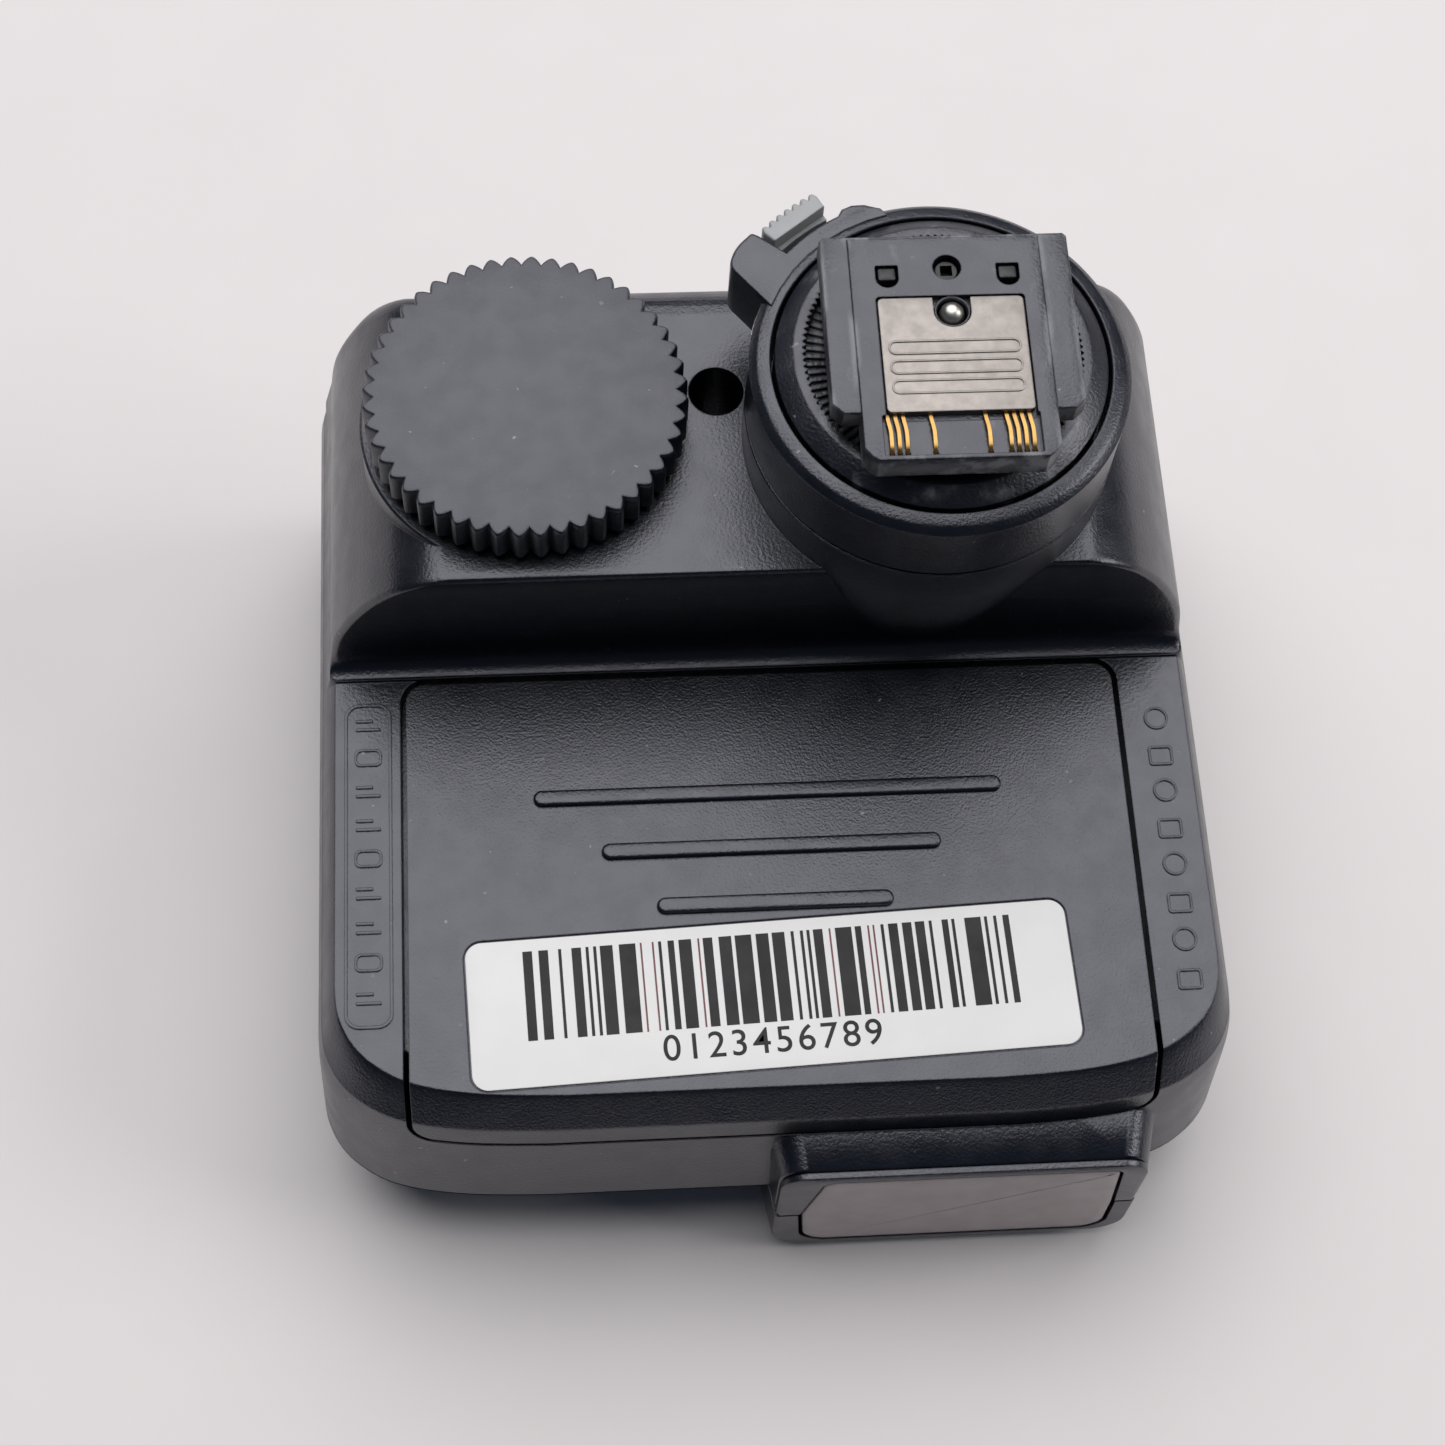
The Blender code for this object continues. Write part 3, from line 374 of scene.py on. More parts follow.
def plastic(name, colour, roughness, grain=0.24, bump=0.35, dust=0.5, edge=0.16):
    graph = Graph(name, colour, roughness, 0.0, PLASTIC_SPECULAR)
    # blue tint of the gloss: painted cool sky reflection
    graph.shader.inputs["Specular Tint"].default_value = PLASTIC_COOL_SHEEN_TINT
    graph.round_edges(edge)
    graph.grain(1.0 / (grain * MM), bump, 0.06)
    graph.vary_colour(220.0, 0.02)
    graph.vary_roughness(420.0, roughness - 0.03, roughness + 0.04)
    if dust:
        graph.dust(dust)
    return graph


def metal(name, colour, roughness, edge=0.06):
    graph = Graph(name, colour, roughness, 1.0)
    graph.round_edges(edge)
    graph.grain(2500.0, 0.10, 0.01)
    graph.vary_colour(1600.0, 0.03)
    graph.vary_roughness(900.0, roughness - 0.04, roughness + 0.07)
    return graph


def scuff_foot(foot):
    """Pale wear along the long edges of the foot, and small rubbed patches."""
    streaks = foot.remap(foot.noise(520.0, 6.0, (1.0, 0.3, 1.0)), 0.46, 0.62, 0.0, 0.85)
    edges = [(0, BLOCK_X[0], 0.55), (0, BLOCK_X[1], 0.55), (0, FOOT_X[0], 0.5), (0, FOOT_X[1], 0.5)]
    edges += [(1, FOOT_Y[1], 0.7), (1, BLOCK_Y[0], 0.6)]
    for axis, centre, width in edges:
        foot.tint(foot.maths("MULTIPLY", foot.band(axis, centre, width), streaks), (0.16, 0.165, 0.17))
    patches = foot.remap(foot.noise(900.0, 6.0, (1.0, 0.5, 1.0)), 0.60, 0.74, 0.0, 0.5)
    foot.tint(patches, (0.09, 0.092, 0.095))


def make_materials():
    made = {
        # the blue cast in these black base colours is painted cool ambient light and sky reflection
        "shell_black": plastic("shell_black", (0.0030, 0.0042, 0.0085), 0.31, 0.24, 0.55, 0.2),
        "door_black": plastic("door_black", (0.0030, 0.0040, 0.0085), 0.32, 0.20, 0.65, 0.12),
        "dial_black": plastic("dial_black", (0.0050, 0.0060, 0.0100), 0.40, 0.16, 0.30, 0.1, 0.12),
        "foot_black": plastic("foot_black", (0.0045, 0.0054, 0.0090), 0.36, 0.26, 0.60, 0.6),
        "button_grey": plastic("button_grey", (0.34, 0.345, 0.345), 0.50, 0.20, 0.25, 0.0, 0.2),
        "key_rubber": plastic("key_rubber", (0.012, 0.012, 0.014), 0.60, 0.15, 0.35, 0.4),
        "panel_grey": plastic("panel_grey", (0.33, 0.35, 0.34), 0.42, 0.3, 0.2, 0.0),
        "cell_jacket": plastic("cell_jacket", (0.08, 0.20, 0.11), 0.34, 0.6, 0.08, 0.0, 0.1),
        "board_green": plastic("board_green", (0.02, 0.12, 0.06), 0.40, 0.5, 0.15, 0.0, 0.05),
        "plate_grey": metal("plate_grey", (0.29, 0.265, 0.247), 0.40, 0.12),
        "pin_steel": metal("pin_steel", (0.62, 0.60, 0.54), 0.36),
        "steel": metal("steel", (0.36, 0.36, 0.365), 0.28),
        "gold": metal("gold", (0.50, 0.30, 0.10), 0.32, 0.04),
        "claw_grey": metal("claw_grey", (0.055, 0.055, 0.058), 0.42),
    }
    label = Graph("label_white", (0.80, 0.795, 0.785), 0.42)
    label.round_edges(0.08).grain(700.0, 0.10, 0.02)
    label.vary_colour(90.0, 0.008).vary_roughness(300.0, 0.36, 0.50)
    ink = Graph("label_ink", (0.016, 0.016, 0.018), 0.50, 0.0, 0.25)
    ink.grain(1500.0, 0.10, 0.01).vary_colour(500.0, 0.10).vary_roughness(300.0, 0.34, 0.48)
    maroon = Graph("label_maroon", (0.16, 0.03, 0.045), 0.40)
    maroon.grain(1500.0, 0.10, 0.01).vary_colour(500.0, 0.08).vary_roughness(300.0, 0.34, 0.48)
    lens = Graph("lens_smoke", (0.40, 0.345, 0.345), 0.34)
    lens.round_edges(0.25).grain(2200.0, 0.10, 0.02)
    lens.vary_colour(140.0, 0.03).vary_roughness(500.0, 0.28, 0.42)
    lens.shader.inputs["Coat Weight"].default_value = 0.15
    glass = Graph("screen_glass", (0.012, 0.013, 0.016), 0.09)
    glass.round_edges(0.2).grain(800.0, 0.02, 0.01).vary_roughness(260.0, 0.06, 0.14).dust(0.3)
    red = Graph("lamp_red", (0.75, 0.06, 0.05), 0.22)
    red.grain(900.0, 0.05, 0.01).vary_colour(400.0, 0.05).vary_roughness(300.0, 0.18, 0.28)
    white = Graph("mark_white", (0.74, 0.74, 0.72), 0.5)
    white.grain(1500.0, 0.15, 0.02).vary_colour(600.0, 0.04).vary_roughness(400.0, 0.44, 0.56)
    made.update(label_white=label, label_ink=ink, label_maroon=maroon, lens_smoke=lens,
                screen_glass=glass, lamp_red=red, mark_white=white)
    scuff_foot(made["foot_black"])
    return {key: graph.mat for key, graph in made.items()}


# ---------------------------------------------------------------- shapes

def arc(cx, cy, radius, start, stop, steps):
    points = []
    for i in range(steps + 1):
        a = math.radians(start + (stop - start) * i / steps)
        points.append((cx + radius * math.cos(a), cy + radius * math.sin(a)))
    return points


def rounded(x0, x1, y0, y1, front, rear=None, steps=12):
    """Rounded rectangle, anticlockwise from its front left corner."""
    rear = front if rear is None else rear
    points = arc(x0 + front, y0 + front, front, 180, 270, steps)
    points += arc(x1 - front, y0 + front, front, 270, 360, steps)
    points += arc(x1 - rear, y1 - rear, rear, 0, 90, steps)
    return points + arc(x0 + rear, y1 - rear, rear, 90, 180, steps)


def spline(p, q, r, s, t):
    """Value between q and r on a smooth curve through p, q, r and s."""
    square = (2 * p - 5 * q + 4 * r - s) * t * t
    cube = (3 * q - p - 3 * r + s) * t ** 3
    return 0.5 * (2 * q + (r - p) * t + square + cube)


def flow(rows, steps):
    """More rows on a smooth curve through the given ones."""
    made = []
    last = len(rows) - 1
    for i in range(last):
        four = (rows[max(i - 1, 0)], rows[i], rows[i + 1], rows[min(i + 2, last)])
        for k in range(steps):
            made.append(tuple(spline(*values, k / steps) for values in zip(*four)))
    return made + [rows[-1]]


def new_object(name, bm):
    bmesh.ops.scale(bm, vec=(MM, MM, MM), verts=bm.verts)
    bmesh.ops.recalc_face_normals(bm, faces=bm.faces)
    mesh = bpy.data.meshes.new(name)
    bm.to_mesh(mesh)
    bm.free()
    obj = bpy.data.objects.new(name, mesh)
    bpy.context.scene.collection.objects.link(obj)
    return obj


def loft(name, rings):
    """Solid through rings of equal length, each a list of (x, y, z)."""
    bm = bmesh.new()
    rows = [[bm.verts.new(p) for p in ring] for ring in rings]
    count = len(rings[0])
    for low, high in zip(rows, rows[1:]):
        for i in range(count):
            j = (i + 1) % count
            bm.faces.new((low[i], low[j], high[j], high[i]))
    bm.faces.new(rows[0])
    bm.faces.new(rows[-1])
    return new_object(name, bm)


def prism(name, outline, z0, z1):
    return loft(name, [[(x, y, z) for x, y in outline] for z in (z0, z1)])


def cushion(name, outline_at, z0, z1, top):
    """Prism with a rounded top rim; outline_at(inset) gives its outline, moved in by inset."""
    rings = [(0.0, z0)]
    for a in (0, 22, 45, 67, 90):
        turn = math.radians(a)
        rings.append((top * (1 - math.cos(turn)), z1 - top + top * math.sin(turn)))
    return loft(name, [[(x, y, z) for x, y in outline_at(inset)] for inset, z in rings])


def box(name, x0, x1, y0, y1, z0, z1):
    return prism(name, [(x0, y0), (x1, y0), (x1, y1), (x0, y1)], z0, z1)


def rod(name, start, stop, radius, segments=72):
    bm = bmesh.new()
    a, b = Vector(start), Vector(stop)
    bmesh.ops.create_cone(bm, cap_ends=True, segments=segments, radius1=radius, radius2=radius,
                          depth=(b - a).length)
    turn = (b - a).to_track_quat("Z", "Y").to_matrix().to_4x4()
    bmesh.ops.transform(bm, matrix=Matrix.Translation((a + b) / 2) @ turn, verts=bm.verts)
    return new_object(name, bm)


def turned(name, centre, profile, steps=144, closed=False):
    """Solid turned about a vertical axis, from (radius, height) points."""
    bm = bmesh.new()
    turns = [2 * math.pi * i / steps for i in range(steps)]
    rows = []
    for r, z in profile:
        if r == 0:
            rows.append([bm.verts.new((*centre, z))])
        else:
            ring = [(centre[0] + r * math.cos(a), centre[1] + r * math.sin(a), z) for a in turns]
            rows.append([bm.verts.new(point) for point in ring])
    pairs = list(zip(rows, rows[1:])) + ([(rows[-1], rows[0])] if closed else [])
    for low, high in pairs:
        for i in range(steps):
            j = (i + 1) % steps
            if len(low) == 1:
                bm.faces.new((low[0], high[j], high[i]))
            elif len(high) == 1:
                bm.faces.new((low[i], low[j], high[0]))
            else:
                bm.faces.new((low[i], low[j], high[j], high[i]))
    return new_object(name, bm)


def bake(obj):
    """Turns the modifiers into mesh."""
    deps = bpy.context.evaluated_depsgraph_get()
    mesh = bpy.data.meshes.new_from_object(obj.evaluated_get(deps))
    obj.modifiers.clear()
    old = obj.data
    obj.data = mesh
    bpy.data.meshes.remove(old)


def combine(target, operation, tools):
    for tool in tools:
        mod = target.modifiers.new(tool.name, "BOOLEAN")
        mod.operation = operation
        mod.solver = "EXACT"
        mod.object = tool
    bake(target)
    for tool in tools:
        bpy.data.objects.remove(tool, do_unlink=True)
    return target


def cut(target, *tools):
    return combine(target, "DIFFERENCE", tools)


def add(target, *tools):
    return combine(target, "UNION", tools)


def keep(target, *tools):
    return combine(target, "INTERSECT", tools)


def shade(obj, angle):
    """Smooth shading with sharp edges above an angle."""
    mesh = obj.data
    bm = bmesh.new()
    bm.from_mesh(mesh)
    bmesh.ops.remove_doubles(bm, verts=bm.verts, dist=0.002 * MM)
    bm.to_mesh(mesh)
    bm.free()
    for poly in mesh.polygons:
        poly.use_smooth = True
    mesh.set_sharp_from_angle(angle=math.radians(angle))


def piece(obj, body, look, stands_for=(), angle=32):
    """Finishes a shape as a visible piece of the object."""
    shade(obj, angle)
    obj.data.materials.clear()
    obj.data.materials.append(MATERIALS[look])
    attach(obj, body)
    if stands_for:
        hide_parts(*stands_for)
    return obj


# ---------------------------------------------------------------- shells

def body_plan(half, front, rear, z):
    """Outline of the body at one height: long curves at the front corners, arcs at the rear."""
    corner = flow(FRONT_CORNER, 3)
    points = [(-half + dx, front + dy) for dx, dy in corner]
    points += [(half - dx, front + dy) for dx, dy in reversed(corner)]
    points += arc(half - REAR_CORNER, rear - REAR_CORNER, REAR_CORNER, 0, 90, 10)
    points += arc(-half + REAR_CORNER, rear - REAR_CORNER, REAR_CORNER, 90, 180, 10)
    return [(x, y, z) for x, y in points]


def block_rings(inset, bottom):
    """Rings of the low block from the height bottom up to the door face, moved in by inset."""
    rings = [body_plan(BODY_HALF - inset, BODY_FRONT + inset, BODY_REAR - inset, bottom)]
    rear = BODY_REAR - inset - BLOCK_STEP
    for depth, half, front in reversed(flow(BLOCK, 3)):
        rings.append(body_plan(half - inset, front + inset, rear, Z_DOOR - depth - inset))
    return rings


def hump_rings(inset):
    """Rings of the raised rear part, moved in by inset."""
    rings = []
    for height, half, front, rear in flow(HUMP, 3):
        z = Z_DOOR + height - (inset if height > 10 else 0.0)
        outline = rounded(-half + inset, half - inset, front + inset, rear - inset, *HUMP_CORNERS)
        rings.append([(x, y, z) for x, y in outline])
    return rings


def lean(y, z):
    """Depth of the lamp's front, which leans back with height."""
    return y - LAMP_LEAN * (Z_PART - z)


def lamp_ring(inset, y):
    x0, x1 = LAMP_X[0] + inset, LAMP_X[1] - inset
    z0, z1 = Z_DOOR + LAMP_Z[0] + inset, Z_DOOR + LAMP_Z[1] - inset
    return [(x, lean(y, z), z) for x, z in rounded(x0, x1, z0, z1, *LAMP_CORNERS)]


def lamp_block(name, face):
    front = lamp_ring(0.0, face + LAMP_EDGE)
    tip = lamp_ring(LAMP_EDGE, face)
    middle = (LAMP_X[0] + LAMP_X[1]) / 2
    spread = 1.0 + LAMP_FLARE / (LAMP_X[1] - middle)
    reach = LAMP_Z[1] + Z_DOOR - Z_PART
    root = [(middle + (x - middle) * spread, LAMP_ROOT, z + LAMP_RISE * max(0.0, z - Z_PART) / reach)
            for x, y, z in front]
    block = loft(name, [root, front, tip])
    block.modifiers.new("flat_faces", "TRIANGULATE")
    bake(block)
    return block


def lens_outline(grow):
    corners = [arc(x, Z_DOOR + z, r + grow, first, last, 12) for x, z, r, first, last in LENS_ARCS]
    right, left = [(LENS_SIDES[1] + grow, Z_PART)], [(LENS_SIDES[0] - grow, Z_PART)]
    return corners[0] + corners[1] + right + corners[2] + corners[3] + left


def lens_prism(name, grow, y0, y1):
    return loft(name, [[(x, lean(y, z), z) for x, z in lens_outline(grow)] for y in (y0, y1)])


def bay_form(name, grow, corner, rear, top):
    half = BAY_HALF + grow
    rings = []
    for z, front in ((BAY_FLOOR, BAY_FRONT + 3.5), (BAY_FLOOR + 3.0, BAY_FRONT), (top, BAY_FRONT)):
        outline = rounded(-half, half, front - 0.6 * grow, rear, corner, 0.3)
        rings.append([(x, y, z if z == top else z - grow / 2) for x, y in outline])
    return loft(name, rings)


def door_form(name, grow, depth, solid):
    """Skin of the block, depth thick, within the door's outline grown all round.

    Where it isn't solid it is a cutter, so it also reaches out past the skin.
    """
    rings = block_rings(0.0, Z_PART)
    if not solid:
        rings = [[(x * 1.03, y * 1.03, z) for x, y, z in ring] for ring in rings]
        rings.append([(x, y, Z_DOOR + 3) for x, y, z in rings[-1]])
    form = loft(name, rings)
    outline = rounded(-DOOR_HALF - grow, DOOR_HALF + grow, -45, DOOR_REAR + grow, 0.5, DOOR_CORNER + grow)
    keep(form, prism(name + "_plan", outline, DOOR_LIP - grow, Z_DOOR + 2))
    face = rounded(-DOOR_HALF - grow, DOOR_HALF + grow, DOOR_LIP - grow, Z_DOOR + 9, DOOR_CORNER + grow)
    keep(form, loft(name + "_face", [[(x, y, z) for x, z in face] for y in (-50, 20)]))
    return cut(form, loft(name + "_core", block_rings(depth, Z_PART - 3)))


def shoe_shell():
    shell = loft("shoe_shell_fine", block_rings(0.0, Z_PART - 1.0))
    foot = Z_DOOR + 2.0
    profile = [(0, Z_SPLIT - 0.1), (COLLAR_R - 0.1, Z_SPLIT - 0.1), (COLLAR_R, Z_SPLIT - 0.2)]
    profile += [(COLLAR_R, Z_HUMP), (CHIN_R, foot), (0, foot)]
    collar = turned("collar_form", COLLAR, profile)
    profile = [(0, Z_HUMP), (PAD_R - 0.2, Z_HUMP), (PAD_R, Z_HUMP - 0.2), (PAD_R, Z_DOOR + 4)]
    pad = turned("dial_pad", DIAL, profile + [(0, Z_DOOR + 4)])
    add(shell, loft("hump_form", hump_rings(0.0)), pad, collar, lamp_block("lamp_upper", LAMP_FACE + 0.75))
    cut(shell, box("shell_trim", -40, 40, -40, 40, -5, Z_PART + SEAM))
    block_hollow = loft("block_hollow", block_rings(WALL, Z_PART - 1.0))
    hump_hollow = loft("hump_hollow", hump_rings(WALL))
    bay = (-BAY_HALF - 1.2, BAY_HALF + 1.2, BAY_FRONT - 1.2, DOOR_REAR + 1.3, BAY_FLOOR - 1.2, Z_DOOR - 1.0)
    cut(hump_hollow, box("bay_a", *bay), rod("well_boss", (*WELL, Z_DOOR), (*WELL, Z_HUMP + 5), 3.6))
    cut(block_hollow, box("bay_b", *bay))
    cut(shell, block_hollow)
    cut(shell, hump_hollow)
    add(shell, bay_form("bay_tub", 2.4, 4.5, DOOR_REAR + 1.0, Z_DOOR - 1.2))
    cut(shell, bay_form("bay_space", 0.0, 0.8, BAY_REAR, 30))
    cut(shell, door_form("door_space", 0.45, DOOR_THICK + GAP, False))
    cut(shell, lens_prism("lens_space", GAP, -37, -30.4))
    cut(shell, rod("well_hole", (*WELL, Z_DOOR + 3.0), (*WELL, 50), 2.2))
    cut(shell, rod("well_screw_hole", (*WELL, 20), (*WELL, 35), 1.15))
    cut(shell, rod("dial_hole", (*DIAL, 35), (*DIAL, 50), 2.6))
    cut(shell, rod("collar_bore", (*COLLAR, 35), (*COLLAR, 50), 8.0))
    for side in (-1, 1):
        x, y = side * BAY_SCREW[0], BAY_SCREW[1]
        cut(shell, rod("bay_screw_hole", (x, y, 3), (x, y, 30), 1.15))
        cut(shell, rod("bay_screw_seat", (x, y, 20.6), (x, y, 30), 1.95))
    piece(shell, "housing", "shell_black", ["shoe_shell"])


def key_hole(x, y, half):
    return prism("key_hole", rounded(x - half, x + half, y - 1.9, y + 1.9, 1.2), -1, 3)


def display_shell():
    rings = [body_plan(half, front, rear, z) for z, half, front, rear in flow(UNDER, 3)]
    shell = loft("display_shell_fine", rings)
    lamp = lamp_block("lamp_lower", LAMP_FACE)
    cut(lamp, box("lamp_trim", -5, 33, -40, -28, Z_PART - SEAM, 30))
    add(shell, lamp)
    hollow = [body_plan(half - WALL, front + WALL, rear - WALL, max(z, WALL))
              for z, half, front, rear in UNDER[2:]]
    hollow.append([(x, y, Z_PART + 2) for x, y, z in hollow[-1]])
    cut(shell, loft("display_hollow", hollow))
    cut(shell, lens_prism("lens_space_lower", GAP, -37, -30.8))
    add(shell, rod("well_post", (*WELL, 1.0), (*WELL, Z_DOOR - GAP), 2.7))
    cut(shell, rod("well_pilot", (*WELL, 16), (*WELL, 30), 1.15))
    for side in (-1, 1):
        x, y = side * BAY_SCREW[0], BAY_SCREW[1]
        add(shell, rod("bay_post", (x, y, 1.0), (x, y, 6.4), 2.4))
        cut(shell, rod("bay_pilot", (x, y, 2.0), (x, y, 9), 1.15))
    x0, x1, y0, y1 = SCREEN
    cut(shell, prism("screen_hole", rounded(x0 + 1.5, x1 - 1.5, y0 + 1.5, y1 - 1.5, 1.0), -1, 3))
    cut(shell, prism("screen_seat", rounded(x0, x1, y0, y1, 1.5), -1, 1.3))
    for y in GROUP_Y:
        cut(shell, key_hole(GROUP_X, y, 3.3))
    for x in FUNCTION_X:
        cut(shell, key_hole(x, FUNCTION_Y, 3.8))
    cut(shell, rod("set_hole", (*SET_BUTTON, -1), (*SET_BUTTON, 3), 4.3))
    cut(shell, box("power_slot", -40, -33, -14, -5.4, 3.6, 6.4))
    cut(shell, box("lamp_slot", -40, -33, 7, 15.6, 3.6, 6.4))
    cut(shell, prism("usb_hole", rounded(33, 40, -11.0, -1.4, 0.1), 3.0, 7.2))
    cut(shell, rod("jack_hole", (33, JACK_Y, 5), (40, JACK_Y, 5), 2.9))
    piece(shell, "housing", "shell_black", ["display_shell"])


def ring_prism(name, outline_at, width, z0, z1):
    """Raised line along an outline."""
    line = prism(name, outline_at(0.0), z0, z1)
    return cut(line, prism(name + "_inner", outline_at(width), z0 - 1, z1 + 1))


def shrinking(x0, x1, y0, y1, corner, rate=0.0):
    """Rounded rectangle as a function of inset; its corners lose rate times the inset."""
    return lambda inset: rounded(x0 + inset, x1 - inset, y0 + inset, y1 - inset, corner - inset * rate)


def left_mark(y, boxed):
    """A rounded box, or a long and a short dash."""
    if boxed:
        return [ring_prism("box_mark", shrinking(-33.2, -31.0, y, y + 1.5, 0.5, 0.5), MARK_LINE, *MARK_Z)]
    return [prism("dash", rounded(-33.1, -31.1, y + 0.2, y + 0.45, 0.1), *MARK_Z),
            prism("dash", rounded(-33.1, -31.7, y + 0.95, y + 1.2, 0.1), *MARK_Z)]


def right_mark(y, circle):
    """A circle or a rounded square."""
    def ring(inset):
        return arc(32.3, y + 1.0, 1.0 - inset, 0, 345, 23)
    outline = ring if circle else shrinking(31.3, 33.3, y, y + 1.7, 0.3, 0.6)
    return ring_prism("shape_mark", outline, MARK_LINE, *MARK_Z)


def side_marks():
    """Plain raised signs: dashes and boxes left of the door, circles and squares right of it."""
    frame_line = ring_prism("mark_frame", shrinking(*MARK_FRAME, 1.2, 0.8), 0.26, *MARK_Z)
    piece(frame_line, "housing", "shell_black")
    parts = []
    for i, y in enumerate(LEFT_MARKS):
        parts += left_mark(y, i % 3 == 1)
    for i, y in enumerate(RIGHT_MARKS):
        parts.append(right_mark(y, i % 2 == 1))
    join("embossed_marks", parts, "housing", "shell_black")


def join(name, parts, body, look, stands_for=(), angle=40):
    bm = bmesh.new()
    for part in parts:
        bm.from_mesh(part.data)
        bpy.data.objects.remove(part, do_unlink=True)
    mesh = bpy.data.meshes.new(name)
    bm.to_mesh(mesh)
    bm.free()
    obj = bpy.data.objects.new(name, mesh)
    bpy.context.scene.collection.objects.link(obj)
    return piece(obj, body, look, stands_for, angle)


# ---------------------------------------------------------------- battery door

def label_outline(inset):
    half_x, half_y = LABEL_SIZE[0] / 2 - inset, LABEL_SIZE[1] / 2 - inset
    return [label_place(x, y) for x, y in rounded(-half_x, half_x, -half_y, half_y, max(1.3 - inset, 0.2))]


def label_place(x, y):
    c, s = math.cos(math.radians(LABEL_ANGLE)), math.sin(math.radians(LABEL_ANGLE))
    return LABEL_CENTRE[0] + x * c - y * s, LABEL_CENTRE[1] + x * s + y * c


def ridge(y, half):
    r = RIDGE_WIDTH / 2

    def outline(inset):
        return rounded(-half + inset, half - inset, y - r + inset, y + r - inset, (r - inset) * 0.98)
    return cushion("ridge", outline, Z_DOOR - 0.6, Z_DOOR + RIDGE_HEIGHT, 0.28)


def battery_door():
    door = door_form("battery_door_fine", 0.0, DOOR_THICK, True)
    add(door, *[ridge(y, half) for y, half in RIDGES])
    cut(door, prism("label_seat", label_outline(-0.15), Z_DOOR - 0.2, Z_DOOR + 1))
    piece(door, "door", "door_black", ["battery_door"])
    label = cushion("door_label_fine", label_outline, Z_DOOR - 0.19, Z_DOOR - 0.02, 0.05)
    piece(label, "door", "label_white", ["door_label"])
    label_print()


def printed_bar(x0, x1):
    y0, y1 = BAR_Y
    corners = [label_place(x, y) for x, y in ((x0, y0), (x1, y0), (x1, y1), (x0, y1))]
    return prism("bar", corners, Z_DOOR - 0.05, Z_DOOR)


def label_print():
    """Made-up bars and digits printed on the label."""
    rng = random.Random(11)
    bars, fine = [], []
    x, end = BAR_X
    while x < end:
        width = rng.choice(BAR_WIDTHS)
        row = fine if rng.random() < FINE_SHARE else bars
        width = FINE_WIDTH if row is fine else width
        row.append(printed_bar(x, x + width))
        x += width + rng.choice(BAR_GAPS)
    join("label_bars", bars, "door", "label_ink")
    join("label_lines", fine, "door", "label_maroon")
    digits("label_digits", "0123456789", label_place(*DIGITS_AT), DIGITS_HEIGHT, LABEL_ANGLE)


def digits(name, word, middle, height, angle):
    """Flat digits on the label, turned by angle about their middle."""
    curve = bpy.data.curves.new(name, "FONT")
    curve.body = word
    curve.size = height * MM * 1.35
    curve.extrude = 0.012 * MM
    curve.offset = 0.008 * MM
    curve.align_x = "CENTER"
    curve.space_character = 1.18
    flat = bpy.data.objects.new(name + "_curve", curve)
    bpy.context.scene.collection.objects.link(flat)
    deps = bpy.context.evaluated_depsgraph_get()
    mesh = bpy.data.meshes.new_from_object(flat.evaluated_get(deps))
    bpy.data.objects.remove(flat, do_unlink=True)
    shift = Matrix.Translation((middle[0] * MM, middle[1] * MM, (Z_DOOR - 0.01) * MM))
    mesh.transform(shift @ Matrix.Rotation(math.radians(angle), 4, "Z"))
    obj = bpy.data.objects.new(name, mesh)
    bpy.context.scene.collection.objects.link(obj)
    piece(obj, "door", "label_ink")


# ---------------------------------------------------------------- lamp

def lamp_parts():
    rings = []
    for inset, depth in ((0.0, 2.0), (0.0, 0.25), (0.08, 0.08), (0.25, 0.0), (1.2, -0.04)):
        y = LAMP_FACE + depth
        rings.append([(x, lean(y, z), z) for x, z in lens_outline(-inset * 0.8)])
    piece(loft("lamp_lens_fine", rings), "housing", "lens_smoke", ["lamp_lens"])
    rings = [lamp_ring(inset, LAMP_FACE + depth) for inset, depth in ((0.06, 0.66), (0.1, 0.2), (0.4, 0.0))]
    bezel = loft("lamp_bezel_fine", rings)
    cut(bezel, lens_prism("bezel_space", GAP * 0.7, -38, -33))
    cut(bezel, box("bezel_trim", -5, 33, -40, -28, -5, Z_PART + SEAM))
    piece(bezel, "housing", "shell_black", ["lamp_bezel"])


# ---------------------------------------------------------------- dial

def dial_outline(radius):
    points = []
    for i in range(DIAL_TEETH * TOOTH_STEPS):
        phase = i / TOOTH_STEPS
        a = 2 * math.pi * phase / DIAL_TEETH
        dip = abs((phase % 1.0) - 0.5) * 2.0
        r = radius - TOOTH_DEPTH * dip ** 1.6
        points.append((DIAL[0] + r * math.cos(a), DIAL[1] + r * math.sin(a)))
    return points


def dial():
    z0, z1 = DIAL_Z
    rim = [(z0, 0.3), (z0 + 0.3, 0.0), (z1 - 0.42, 0.0), (z1 - 0.2, 0.06), (z1 - 0.06, 0.2), (z1, 0.42)]
    rings = [[(x, y, z) for x, y in dial_outline(DIAL_R - drop)] for z, drop in rim]
    disc = loft("dial_disc_fine", rings)
    cut(disc, rod("dial_socket", (*DIAL, 40), (*DIAL, 44.1), 2.0))
    piece(disc, "dial", "dial_black", ["dial_disc"], 28)


# ---------------------------------------------------------------- lock ring and shoe foot

def polar(radius, angle):
    a = math.radians(angle)
    return COLLAR[0] + radius * math.cos(a), COLLAR[1] + radius * math.sin(a)


